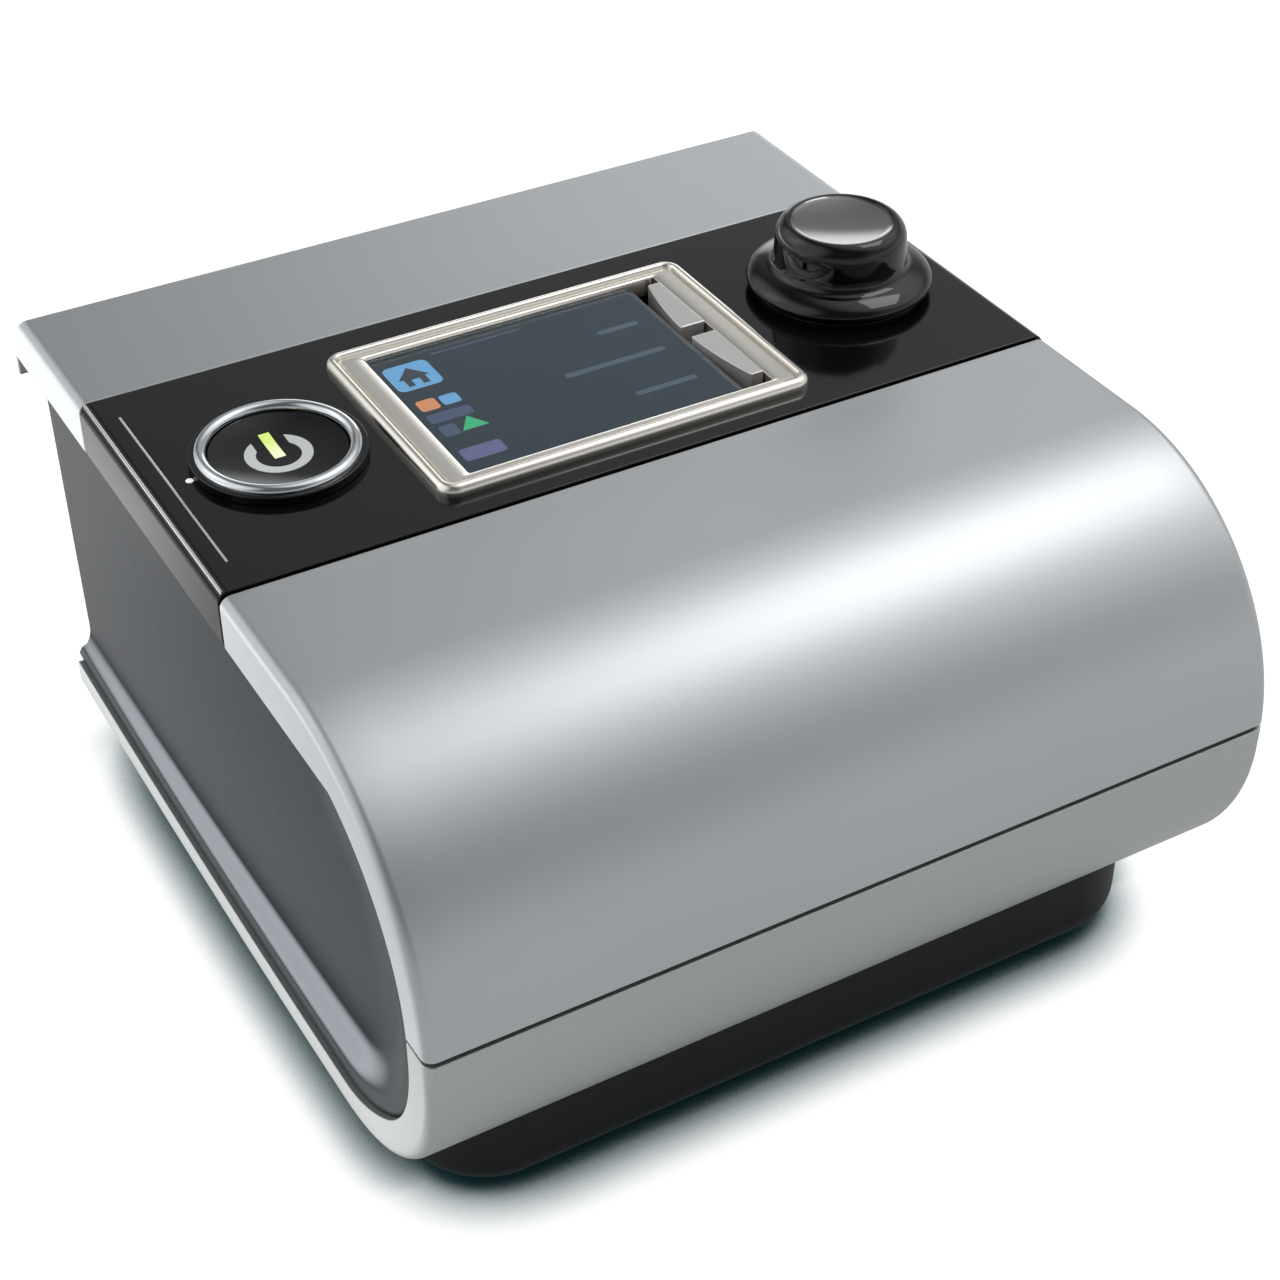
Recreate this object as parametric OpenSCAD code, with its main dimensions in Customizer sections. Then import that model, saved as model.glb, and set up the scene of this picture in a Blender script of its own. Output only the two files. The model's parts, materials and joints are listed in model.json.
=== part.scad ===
// Bedside CPAP flow generator with a curved silver case, a glossy black control band,
// a colour display in a raised bezel, a lit start button and a push-and-turn dial.
// Millimetres. X runs left to right, Y from the front to the rear, Z up from the table.
// The case is drawn with its front at y = 0 and is centred on the origin at the end.

/* [Case] */
// Width of the case across its side rims
body_w = 140; // [132:1:156]
// Depth of the case from the curved front to the rear lip
body_d = 153; // [150:1:170]
// Height of the silver top above the table
body_h = 84; // [82:1:90]
// Radius of the upper front curve
crown_r = 37.6; // [34:0.2:38]
// Radius of the lower front curve
chin_r = 33; // [30:0.5:34]
// Radius of the gently bellied underside
belly_r = 1200; // [1000:50:1600]
// Distance of the lowest point of the belly from the front
belly_y = 95; // [85:1:105]
// Height of the belly's lowest point above the table
base_h = 8.6; // [7.6:0.2:9.6]
// Height of the seam above the centre of the upper front curve
seam_up = 1.2; // [0.6:0.1:2.4]
// Width of the seam
seam_gap = 0.8; // [0.4:0.1:1]
// Wall thickness of the mouldings
wall = 2.2; // [1.8:0.1:2.4]
// Rounding of the long side edges
edge_r = 1.8; // [1.2:0.1:3.4]
// Depth of the rim over the side panels at the top
rim_top = 8.6; // [7.6:0.2:9.6]
// Depth of the rim at the front curves
rim_front = 6.2; // [5:0.2:7]
// Depth of the rim along the underside
rim_low = 5.4; // [4.6:0.2:6]

/* [Rear] */
// How far the sloping rear face of the top runs forward of the lip
lip_slope = 6.8; // [5:0.2:8]
// Height of the rear lip, from the top down to its lower edge
lip_h = 10.6; // [10:0.2:12]
// Depth of the recess below the rear lip
rear_recess = 10; // [8:0.5:11]
// Height where the rear wall meets its lower flare
flare_z = 20; // [18:0.5:22]
// How far the side panels' rear edge stands behind the rear panel at its foot
cheek_low = 1.2; // [0:0.1:2]
// The same at its top, under the lip
cheek_high = 6.4; // [2:0.1:6.6]
// How far the lower flare stays short of the rear lip
foot_back = 3.6; // [2:0.2:5]

/* [Control band] */
// Front edge of the black band
band_front = 60.8; // [59:0.2:61]
// Depth of the black band from front to rear
band_d = 56.3; // [55:0.1:57]
// Thickness of the band's glossy skin
band_t = 2.4; // [2:0.1:2.6]
// How far the band stands proud of the silver covers
band_proud = 0.3; // [0.1:0.1:0.5]
// Gap between the band and each silver cover
band_gap = 0.25; // [0.15:0.05:0.4]

/* [Display] */
// Width of the bezel
bezel_w = 63.4; // [60:0.2:66]
// Depth of the bezel
bezel_d = 43.8; // [42:0.2:45]
// Sideways place of the bezel's centre
bezel_x = -1.7; // [-3:0.1:0]
// Distance of the bezel's centre from the band's front edge
bezel_in = 26.6; // [26:0.1:28]
// How far the bezel stands above the band
bezel_h = 1.9; // [1.2:0.1:2.6]
// Width of the bezel's frame on its left, front and rear
frame_w = 3.4; // [3:0.1:5]
// Width of the bezel's frame on its right
frame_right = 5.6; // [5:0.1:8]
// Width of the arc-shaped display buttons
menu_key_w = 4.6; // [4:0.1:5]
// Length of each display button
menu_key_l = 14.4; // [12:0.2:15]
// Travel of the display buttons
menu_travel = 0.6; // [0.4:0.1:0.8]

/* [Start button] */
// Sideways place of the start button
start_x = -49; // [-50:0.5:-48]
// Distance of the start button from the band's front edge
start_in = 28; // [26:0.5:30]
// Centreline radius of the chrome ring
ring_r = 11.5; // [11:0.1:12]
// Thickness of the chrome ring
ring_t = 1.9; // [1.6:0.1:2.2]
// Height of the black collar above the band
collar_h = 1.5; // [1:0.1:2]
// Travel of the start button
start_travel = 1.0; // [0.6:0.1:1.2]

/* [Dial] */
// Sideways place of the dial
dial_x = 50.5; // [49:0.5:52]
// Distance of the dial from the band's front edge
dial_in = 29.6; // [28:0.2:31]
// Radius of the dial's grip
grip_r = 11; // [10:0.1:12]
// Radius of the flared skirt
skirt_r = 15.2; // [14:0.1:16]
// Height of the dial's top above the band
dial_h = 12; // [11:0.2:14]
// Travel of the dial when it is pushed
dial_travel = 0.8; // [0.5:0.1:1]
// Radius of the dial's shaft
shaft_r = 3; // [2.5:0.1:3.2]

/* [Base] */
// How far the black base stays in from the sides of the case
base_side = 6.1; // [4.5:0.1:9]
// Distance of the base's front from the front of the case
base_front = 12.4; // [11:0.2:18]
// Distance of the base's rear from the rear lip
base_back = 16; // [14:0.5:22]
// Corner radius of the base
base_r = 14; // [12:0.5:18]
// Rounding of the base's lower edge
base_round = 5.3; // [3:0.1:6]
// Height of the rubber feet below the base
foot_h = 1.2; // [0.8:0.1:1.6]
// Radius of the rubber feet
foot_r = 6; // [5:0.5:7]

/* [Blower] */
// Distance of the blower's axis from the front
blower_y = 57; // [55:0.5:60]
// Outer radius of the impeller
fan_r = 23; // [20:0.5:24]
// Height of the impeller's blades
blade_h = 8; // [6:0.5:9]
// Number of blades
blades = 11; // [7:1:15]
// Gap between the impeller and the narrowest part of the volute
fan_gap = 3; // [2:0.5:3.5]
// Growth of the volute's radius over one turn
volute_grow = 9; // [7:0.5:10]

/* [Air path] */
// Outer radius of the air outlet, the standard 22 mm connector
outlet_r = 11; // [11:0.05:11.1]
// Wall thickness of the air outlet
outlet_wall = 1.6; // [1.4:0.1:1.8]
// Sideways place of the air outlet
outlet_x = 34; // [32:0.5:36]
// Height of the air outlet
outlet_z = 36; // [35.5:0.5:38]
// Radius of the pocket round the air outlet
pocket_r = 16.5; // [16:0.5:18]
// Depth of the pocket round the air outlet
pocket_d = 11; // [10:0.5:12]
// Width of the air filter
filter_w = 34; // [30:1:36]
// Height of the air filter
filter_h = 30; // [26:1:32]
// Thickness of the air filter
filter_t = 5; // [4:0.5:6]
// Distance of the air filter's centre from the left side of the case
filter_in = 29; // [27:0.5:30]
// Height of the air filter's centre
filter_z = 44; // [43:0.5:46]

/* [Clearances] */
// Gap between covers that fit into one another
fit = 0.3; // [0.2:0.05:0.4]
// Radial clearance of a shaft in its bore
run = 0.05; // [0.03:0.01:0.08]
// Radial clearance of a button in its hole
slide = 0.2; // [0.15:0.05:0.3]

/* [Hidden] */
$fn = 64;
half_w = body_w / 2;
big = 400;
eps = 0.01;
thin = 0.02;

// Front curves
crown_z = body_h - crown_r;
chin_sin = (belly_y - chin_r) / (belly_r - chin_r);
chin_z = base_h + belly_r - (belly_r - chin_r) * sqrt(1 - chin_sin * chin_sin);
chin_turn = 90 - asin(chin_sin);
belly_fn = 720;
seam_z = crown_z + seam_up;

// Rear outline
lip_z = body_h - lip_h;
top_back = body_d - lip_slope;
rear_y = body_d - rear_recess;
foot_y = body_d - foot_back;
lip_root_z = lip_z - rear_recess * 0.65;
foot_z = flare_z - (foot_y - rear_y) * 0.95;
low_back = foot_y - 3;
function belly_z(y) = base_h + belly_r - sqrt(belly_r * belly_r - pow(y - belly_y, 2));

// Control band
band_back = band_front + band_d;
band_top = body_h + band_proud;
deck_t = 2;
deck_top = body_h - wall - fit;
deck_low = deck_top - deck_t;
deck_lip = 3.6;
deck_w = body_w - 2 * wall - 2 * edge_r - 2;

// Display
bezel_y = band_front + bezel_in;
bezel_left = bezel_x - bezel_w / 2;
bezel_right = bezel_x + bezel_w / 2;
bezel_r = 3;
well_left = bezel_left + frame_w + 2.4;
well_right = bezel_right - frame_right;
well_front = bezel_y - bezel_d / 2 + frame_w;
well_back = bezel_y + bezel_d / 2 - frame_w;
well_w = well_right - well_left;
well_d = well_back - well_front;
window_t = 1;
window_top = band_top + 0.7;
screen_w = well_w - menu_key_w - 2 * slide;
module_t = 3.2;
module_top = window_top - window_t - 0.1;
board_t = 1.6;
board_top = deck_low - 4.4;
board_half = half_w - 9;
post_x = board_half - 3;

// Start button
start_y = band_front + start_in;
collar_top = band_top + collar_h;
collar_r = ring_r + ring_t / 2 + 0.9;
cap_r = ring_r - ring_t / 2 - slide;
switch_h = 3;
switch_top = board_top + switch_h;
stem_r = 3.2;

// Display buttons
menu_x = well_right - menu_key_w / 2;
menu_top = band_top + bezel_h - 0.3;
menu_gap = 3.2;
menu_arc_r = 60;

// Dial
dial_y = band_front + dial_in;
dial_top = band_top + dial_h;
skirt_low = band_top + dial_travel + 0.6;
skirt_t = 1.3;
grip_low = skirt_low + 3.4;
hub_r = shaft_r + 2;
plunger_r = shaft_r + 1.8;
encoder_w = 13;
encoder_h = 5.4;
encoder_floor = 0.3;
plunger_low = board_top + encoder_floor + dial_travel + 0.2;
shaft_low = plunger_low + 0.6;
plunger_h = 3;

// Base
base_w = body_w - 2 * base_side;
base_z = foot_h;
base_top_gap = 0.15;
base_y0 = base_front;
base_y1 = body_d - base_back;
foot_in = base_r;
foot_sink = 0.8;

// Side panels
panel_out = half_w - 0.8;
dish_edge = 4;
dish_low = 3;
dish_high = 4.2;
cover_t = 3.4;
frame_out = panel_out - cover_t - fit;
frame_t = 2.4;
panel_t = cover_t + fit + frame_t;
tab_l = 2;
tab_w = 10;
tab_h = 3;

// Blower
shelf = base_h + wall + 2.4;
fan_low = outlet_z - blade_h / 2;
fan_disc = 1.4;
fan_eye = 9;
axle_r = 2;
volute_wall = 1.8;
volute_r = fan_r + fan_gap;
tongue = 45;
scroll_step = 7.5;
duct_in = volute_r * cos(tongue);
duct_out = volute_r + volute_grow;
blower_x = outlet_x - (duct_in + duct_out) / 2;
volute_h = 22;
volute_low = outlet_z - volute_h / 2;
volute_top = outlet_z + volute_h / 2;
motor_r = 15;
bearing_r = 4;
bearing_h = 2.6;
motor_low = shelf + 0.4;
bottom_bearing = motor_low + 1.2;
throat_y = blower_y + volute_r + volute_grow + 4;

// Rear pieces
rear_t = 2.4;
lip_t = 2.4;
lip_drop = 1.6;
rear_in = rear_y - rear_t;
filter_x = filter_in - half_w;
foam_y1 = rear_y - filter_t - 6.3;
foam_y0 = foam_y1 - 39.7;
pocket_y = rear_y - pocket_d;
outlet_end = body_d - 0.6;
filter_cover_w = filter_w + 6;
filter_cover_h = filter_h + 6;
filter_cover_t = 1.8;
filter_pivot_z = filter_z - filter_cover_h / 2 - 2.4;
filter_pivot_y = rear_y + 1.4;
hinge_r = 1.2;
power_x = -2;
power_z = 30;
power_r = 5.4;
clip_pivot_y = rear_y + 1.6;
clip_pivot_z = power_z + 8.6;
clip_pin_r = 1;
port_pin_r = 0.9;
port_x = -2;
port_z = 51.5;
port_w = 17;
port_h = 9;
card_x = -2;

card_w = 24;
card_l = 32;
card_t = 2.1;
card_out = 4;
chassis_z = 53.6;
chassis_t = 1.8;
chassis_half = panel_out - panel_t - 1.1;
chassis_y0 = 24;
chassis_y1 = rear_in - 4.6;
main_z = chassis_z + chassis_t + 2.4;
main_x0 = filter_x + filter_w / 2 + 4;
main_x1 = 16;
main_y0 = rear_in - 50.6;
cable_y = main_y0 + 14.6;
cable_x = main_x0 + 8;
cable_w = 18;
card_z = main_z + board_t + 1.8;
screw_in = 16;
screw_front = 42;
screw_rear = body_d - 29;
screw_r = 1.5;
head_r = 2.8;
boss_r = 3.6;

// Power symbol, hinge of the port cover, and scroll of the volute
light_out = 5.1;
light_in = 3.4;
light_bar = 1.7;
dish_r = 48;
cap_top = collar_top - 0.3;
port_pivot_x = port_x - port_w / 2 - 2;
port_pivot_y = rear_y + 1.3;
function dish_z() = cap_top + sqrt(dish_r * dish_r - cap_r * cap_r);

// ---------------------------------------------------------------- helpers

// Moves the finished piece so that the case is centred over the origin.
module place() { translate([0, -body_d / 2, 0]) children(); }

// Extrudes a side view, drawn as (y, z), across the width.
module across(w) { rotate([90, 0, 90]) linear_extrude(w, center = true) children(); }

// A plate between two heights with rounded vertical corners.
module slab(w, d, h, r) {
    linear_extrude(h) {
        square([w - 2 * r, d], center = true);
        square([w, d - 2 * r], center = true);
        for (sx = [-1, 1], sy = [-1, 1])
            translate([sx * (w / 2 - r), sy * (d / 2 - r)]) circle(r = r);
    }
}

// A tray whose upright corners and lower edge are rounded. Its corners are turned and its
// straight sides are extruded from the same section.
module round_tray(w, d, h, r, low) {
    module end_section(l) {
        square([l - low, h]);
        translate([0, low]) square([l, h - low]);
        intersection() {
            translate([l - low, low]) circle(r = low);
            translate([l - low, 0]) square([low, low]);
        }
    }
    for (turn = [0, 180]) rotate([0, 0, turn]) {
        translate([0, r - d / 2, 0]) rotate([90, 0, 180]) linear_extrude(d - 2 * r) end_section(w / 2);
        translate([w / 2 - r, 0, 0]) rotate([90, 0, -90]) linear_extrude(w - 2 * r) end_section(d / 2);
        for (s = [0, 1]) translate([w / 2 - r, (s - 0.5) * (d - 2 * r), 0])
            rotate([0, 0, s * 90 - 90]) rotate_extrude(angle = 90) end_section(r);
    }
}

// A tube between two heights.
module tube(ro, ri, h) {
    difference() {
        cylinder(r = ro, h = h);
        translate([0, 0, -1]) cylinder(r = ri, h = h + 2);
    }
}

// Lays a piece that was drawn along +Z down along +Y.
module lay_y() { rotate([-90, 0, 0]) children(); }

// Side view of the whole case. The inset shrinks the front, the top and the underside.
module case_side(inset) {
    back = inset > 0 ? rear_y - rear_t : body_d;
    intersection() {
        translate([belly_y, base_h + belly_r]) circle(r = belly_r - inset, $fn = belly_fn);
        union() {
            translate([crown_r, crown_z]) circle(r = crown_r - inset);
            translate([inset, chin_z]) square([crown_r, crown_z - chin_z]);
            translate([chin_r, chin_z]) circle(r = chin_r - inset);
            polygon([
                [chin_r - (chin_r - inset) * chin_sin, 0],
                [inset > 0 ? back : low_back, 0],
                if (inset == 0) [low_back, foot_z - 2.4],
                if (inset == 0) [foot_y, foot_z - 2.4],
                if (inset == 0) [foot_y, foot_z],
                if (inset == 0) [rear_y, flare_z],
                if (inset == 0) [rear_y, lip_root_z],
                if (inset == 0) [body_d - lip_t, lip_z - lip_drop],
                if (inset == 0) [body_d, lip_z],
                [inset > 0 ? back : top_back, body_h - inset],
                [crown_r, body_h - inset],
                [crown_r, chin_z]
            ]);
        }
    }
}

// Side view of the opening that a side panel fills, shrunk by a clearance.
module panel_side(gap) {
    front = rim_front + gap;
    high = body_h - rim_top - gap;
    intersection() {
        translate([belly_y, base_h + belly_r]) circle(r = belly_r - rim_low - gap, $fn = belly_fn);
        union() {
            intersection() {
                translate([crown_r, crown_z]) circle(r = crown_r - front);
                translate([0, chin_z]) square([crown_r, high - chin_z]);
            }
            translate([front, chin_z]) square([crown_r - front, crown_z - chin_z]);
            translate([chin_r, chin_z]) circle(r = chin_r - front);
            polygon([
                [chin_r, base_h],
                [foot_y - gap, base_h],
                [foot_y - gap, foot_z],
                [rear_y + cheek_low - gap, flare_z],
                [rear_y + cheek_high - gap, lip_z - lip_drop - 0.8 - gap],
                [body_d - lip_t - gap, lip_z - lip_drop - gap],
                [body_d - lip_t - gap, high],
                [crown_r, high],
                [crown_r, chin_z]
            ]);
        }
    }
}

// Cross-section of the top or underside, with rounded outer corners, measured inwards
// from the outer face at y = 0.
module rim_section(depth, inset) {
    r = max(edge_r - inset, 0.3);
    half = half_w - inset;
    translate([-half, -depth]) square([2 * half, depth - inset - r]);
    translate([-(half - r), -depth]) square([2 * (half - r), depth - inset]);
    for (s = [-1, 1]) intersection() {
        translate([s * (half - r), -inset - r]) circle(r = r, $fn = 48);
        translate([-half, -inset - r]) square([2 * half, r]);
    }
}

// Carries the shell's cross-section round part of a front curve.
module curved_shell(y, z, r, depth, from, turn, n, inset = 0) {
    translate([0, y, z]) rotate([90, 0, 90]) rotate([0, 0, from])
        rotate_extrude(angle = turn, $fn = n)
            translate([r, 0]) rotate(-90) difference() {
                rim_section(depth, inset);
                rim_section(depth + 1, wall + inset);
            }
}

// Straight lengths of the same cross-section.
module flat_shell(y0, y1, depth) {
    translate([0, y1, body_h]) rotate([90, 0, 0]) linear_extrude(y1 - y0) difference() {
        rim_section(depth, 0);
        rim_section(depth + 1, wall);
    }
}

module upright_shell(z0, z1, depth, inset = 0) {
    translate([0, 0, z0]) linear_extrude(z1 - z0) mirror([0, 1]) difference() {
        rim_section(depth, inset);
        rim_section(depth + 1, wall + inset);
    }
}

// Cuts the openings that the two side panels fill.
module side_openings() { across(body_w + 2) panel_side(0); }

// ---------------------------------------------------------------- case

module front_cover() {
    rim = rim_top + 3;
    color([0.62, 0.64, 0.66]) place() union() {
        difference() {
            union() {
                flat_shell(crown_r, band_front - band_gap, rim);
                curved_shell(crown_r, crown_z, crown_r, rim, 90, 90, 96);
            }
            side_openings();
            translate([-big / 2, -1, 0]) cube([big, big, seam_z + seam_gap / 2]);
        }
        // Two stiffening ribs behind the curve, and two tongues that reach over the seam.
        for (s = [-1, 1]) {
            difference() {
                translate([s * (half_w - 40) - 1, 0, 0]) rotate([90, 0, 90]) linear_extrude(2)
                    intersection() {
                        case_side(wall - 0.2);
                        translate([wall, crown_z + 6]) square([crown_r - 8, crown_r - 10]);
                    }
                translate([0, crown_r, crown_z]) rotate([0, 90, 0])
                    cylinder(r = crown_r - wall - 4, h = big, center = true);
            }
            difference() {
                translate([s * (half_w - 28) - 4, wall - 0.6, seam_z - 3.4]) cube([8, 2.2, 8]);
                translate([s * (half_w - 28) - 5, 0, seam_z - 4]) cube([10, wall + fit, 4 + seam_gap / 2]);
            }
        }
    }
}

module rear_cover() {
    color([0.58, 0.6, 0.62]) place() difference() {
        intersection() {
            translate([0, body_d, body_h]) rotate([90, 0, 0])
                linear_extrude(body_d - band_back - band_gap) rim_section(rim_top + 6, 0);
            across(body_w + 2) case_side(0);
        }
        // Hollow below the top wall and in front of the sloping rear wall.
        intersection() {
            translate([0, body_d, body_h]) rotate([90, 0, 0])
                linear_extrude(body_d) rim_section(rim_top + 8, wall);
            across(body_w) polygon([
                [0, 0], [body_d - wall - 0.4, 0], [body_d - wall - 0.4, lip_z],
                [top_back - 1.6, body_h - wall], [0, body_h - wall]
            ]);
        }
        // The lip at the rear reaches lower than the rest of the cover.
        translate([-big / 2, -1, -1]) cube([big, body_d - lip_t + 1, body_h - rim_top + 1]);
    }
}

module lower_case() {
    low_turn = asin((low_back - belly_y) / belly_r) + asin(chin_sin);
    hair = 0.02;
    lap = 1;
    color([0.6, 0.62, 0.62]) place() union() {
        // The front is a hair inside the underside and laps into it, so that the two sweeps
        // meet in a clean edge.
        upright_shell(chin_z, seam_z - seam_gap / 2, rim_front, hair);
        curved_shell(chin_r, chin_z, chin_r, rim_front, 180, chin_turn + lap, 96, hair);
        difference() {
            union() {
                curved_shell(belly_y, base_h + belly_r, belly_r, rim_low,
                    180 + chin_turn, low_turn, belly_fn);
                // Bosses for the case screws, and long ribs across the floor.
                for (s = [-1, 1], y = [screw_front, screw_rear])
                    translate([s * (half_w - screw_in), y, belly_z(y) + 1])
                        cylinder(r = boss_r, h = shelf - belly_z(y) + 5);
                for (s = [-1, 1])
                    translate([s * (half_w - 24) - 0.8, chin_r + 6, base_h + 1.4])
                        cube([1.6, low_back - chin_r - 16, shelf - base_h - 1.4]);
            }
            for (s = [-1, 1], y = [screw_front, screw_rear])
                translate([s * (half_w - screw_in), y, 0])
                    cylinder(r = screw_r + run, h = shelf + 3);
        }
    }
}

// Removes the shallow dish from a side panel whose outer face is at x = 0. A ledge stays
// along the front and underside. The dish deepens towards its top and runs out to the rear.
module side_dish() {
    tilt = atan((dish_high - dish_low) / (body_h - rim_top - base_h));
    fade = atan(dish_high / (rear_y - rim_front - dish_edge));
    run_out = 2 * dish_edge;
    intersection() {
        rotate([90, 0, 90]) translate([0, 0, -10]) linear_extrude(20)
            for (dy = [0, run_out], dz = [0, run_out])
                translate([dy, dz]) panel_side(dish_edge);
        translate([dish_low, rim_front + dish_edge, base_h + rim_low]) rotate([0, 0, fade])
            rotate([0, tilt, 0]) translate([-20, -40, -20]) cube([20, big, big]);
    }
}

module side_panel_left() {
    color([0.3, 0.32, 0.34]) place() difference() {
        translate([-panel_out, 0, 0]) rotate([90, 0, 90]) linear_extrude(panel_t) panel_side(fit);
        translate([-panel_out, 0, 0]) side_dish();
    }
}

module side_tabs(x, l, grow) {
    for (y = [30, rear_y - 27], z = [26, body_h - 22])
        translate([x, y - tab_w / 2 - grow, z - tab_h / 2 - grow])
            cube([l, tab_w + 2 * grow, tab_h + 2 * grow]);
}

module side_frame_right() {
    color([0.25, 0.26, 0.28]) place() difference() {
        translate([frame_out - frame_t, 0, 0]) rotate([90, 0, 90]) linear_extrude(frame_t)
            panel_side(fit);
        side_tabs(frame_out - frame_t - 1, frame_t + 2, fit);
    }
}

module side_cover_right() {
    color([0.32, 0.34, 0.36]) place() union() {
        difference() {
            translate([panel_out - cover_t, 0, 0]) rotate([90, 0, 90]) linear_extrude(cover_t)
                panel_side(fit);
            intersection() {
                translate([panel_out, 0, 0]) mirror([1, 0, 0]) side_dish();
                translate([panel_out - cover_t + 1, 0, 0]) cube([20, big, big]);
            }
        }
        side_tabs(panel_out - cover_t - tab_l, tab_l + eps, 0);
    }
}

module rear_side() {
    polygon([
        [body_d - lip_t - fit, body_h - rim_top - fit],
        [body_d - lip_t - fit, lip_z - lip_drop - fit],
        [rear_y, lip_root_z],
        [rear_y, flare_z],
        [foot_y, foot_z],
        [foot_y, foot_z - 2.2],
        [low_back + fit, foot_z - 2.2],
        [low_back + fit, foot_z - 3.4],
        [low_back - 6, foot_z - 1],
        [rear_in, flare_z - 2],
        [rear_in, lip_root_z + 2],
        [body_d - lip_t - rear_t - 2, body_h - rim_top - fit]
    ]);
}

module rear_panel() {
    panel_w = 2 * (panel_out - panel_t - fit);
    color([0.2, 0.21, 0.22]) place() difference() {
        union() {
            intersection() {
                across(panel_w) rear_side();
                translate([-big / 2, 0, belly_z(low_back) + wall + fit]) cube([big, big, big]);
            }
            // Cup of the air outlet.
            translate([outlet_x, pocket_y - 2, outlet_z]) lay_y() cylinder(r = pocket_r + 2, h = pocket_d);
            // Housing of the filter.
            translate([filter_x - filter_w / 2 - 2, rear_y - filter_t - 6, filter_z - filter_h / 2 - 2])
                cube([filter_w + 4, filter_t + 5, filter_h + 4]);
            // Hinge lugs of the filter cover, the power clip and the port cover.
            for (s = [-1, 1]) {
                translate([filter_x + s * (filter_cover_w / 2 - 5), filter_pivot_y, filter_pivot_z])
                    rotate([0, 90, 0]) cylinder(r = 2.2, h = 3, center = true);
                translate([power_x + s * 10.6, clip_pivot_y, clip_pivot_z])
                    rotate([0, 90, 0]) cylinder(r = 2.2, h = 2.4, center = true);
                translate([port_pivot_x, port_pivot_y, port_z + s * (port_h / 2 + 2.2)])
                    cylinder(r = 1.9, h = 1.6, center = true);
            }
        }
        translate([filter_x, filter_pivot_y, filter_pivot_z]) rotate([0, 90, 0])
            cylinder(r = hinge_r + run, h = filter_cover_w, center = true);
        translate([power_x, clip_pivot_y, clip_pivot_z]) rotate([0, 90, 0])
            cylinder(r = clip_pin_r + run, h = 30, center = true);
        translate([port_pivot_x, port_pivot_y, port_z])
            cylinder(r = port_pin_r + run, h = port_h + 10, center = true);
        translate([outlet_x, pocket_y, outlet_z]) lay_y() cylinder(r = pocket_r, h = pocket_d + 20);
        translate([outlet_x, pocket_y - 10, outlet_z]) lay_y() cylinder(r = outlet_r + fit, h = 20);
        translate([filter_x - filter_w / 2 - fit, rear_y - filter_t - 1, filter_z - filter_h / 2 - fit])
            cube([filter_w + 2 * fit, filter_t + 10, filter_h + 2 * fit]);
        translate([filter_x - filter_w / 2 + 3, rear_y - 30, filter_z - filter_h / 2 + 3])
            cube([filter_w - 6, 40, filter_h - 6]);
        translate([power_x, rear_y - 10, power_z]) lay_y() cylinder(r = power_r + fit, h = 20);
        translate([port_x - port_w / 2, rear_y - 10, port_z - port_h / 2]) cube([port_w, 20, port_h]);
        translate([card_x - card_w / 2 - 0.6, rear_y - 10, card_z - card_t / 2 - 0.6])
            cube([card_w + 1.2, 20, card_t + 1.2]);
    }
}

module base_tray() {
    depth = base_y1 - base_y0;
    color([0.1, 0.11, 0.12]) place() difference() {
        translate([0, base_y0 + depth / 2, base_z])
            round_tray(base_w, depth, base_h + 10, base_r, base_round);
        across(body_w) case_side(-base_top_gap);
        for (s = [-1, 1], y = [base_y0 + foot_in, base_y1 - foot_in])
            translate([s * (base_w / 2 - foot_in), y, base_z - 1])
                cylinder(r = foot_r + fit / 2, h = 1 + foot_sink);
        for (s = [-1, 1], y = [screw_front, screw_rear])
            translate([s * (half_w - screw_in), y, 0]) {
                cylinder(r = screw_r + fit, h = big);
                cylinder(r = head_r + fit, h = base_z + 3.2);
            }
        // Vents of the underside between the feet.
        for (x = [-24 : 8 : 24])
            translate([x - 1.5, base_y0 + depth / 2 - 20, base_z - 1]) cube([3, 40, 1.8]);
    }
}

module rubber_feet() {
    color([0.16, 0.16, 0.17]) place()
        for (s = [-1, 1], y = [base_y0 + foot_in, base_y1 - foot_in])
            translate([s * (base_w / 2 - foot_in), y, 0]) cylinder(r = foot_r, h = foot_h + foot_sink);
}

// ---------------------------------------------------------------- control band

module control_band() {
    skin = band_proud;
    y0 = band_front;
    y1 = band_back;
    open_w = bezel_w - 6;
    open_d = bezel_d - 6;
    color([0.08, 0.085, 0.09]) place() difference() {
        union() {
            translate([0, y1 - band_gap, band_top]) rotate([90, 0, 0])
                linear_extrude(band_d - 2 * band_gap) difference() {
                    rim_section(rim_top + band_proud - 0.2, 0);
                    rim_section(rim_top + band_proud, band_t);
                }
            translate([-deck_w / 2, y0 - deck_lip, deck_low])
                cube([deck_w, y1 - y0 + 2 * deck_lip, deck_t]);
            translate([-deck_w / 2, y0 + 1, deck_low]) cube([deck_w, y1 - y0 - 2, deck_t + 1.2]);
            // Posts that carry the control board.
            for (x = [-post_x, post_x], y = [y0 + 4, y1 - 4])
                translate([x, y, board_top]) cylinder(r = 2.6, h = deck_low - board_top + 1);
        }
        translate([bezel_x, bezel_y, deck_low - 1]) slab(open_w, open_d, 20, 1.5);
        translate([start_x, start_y, deck_low - 1]) cylinder(r = cap_r + slide, h = 20);
        translate([dial_x, dial_y, deck_low - 1]) cylinder(r = encoder_w * 0.75, h = deck_t + 2);
        translate([dial_x, dial_y, deck_low - 1]) cylinder(r = hub_r + 0.8, h = 20);
        for (x = [-post_x, post_x], y = [y0 + 4, y1 - 4])
            translate([x, y, board_top - 1]) cylinder(r = 1 + run, h = 5);
    }
}

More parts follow.
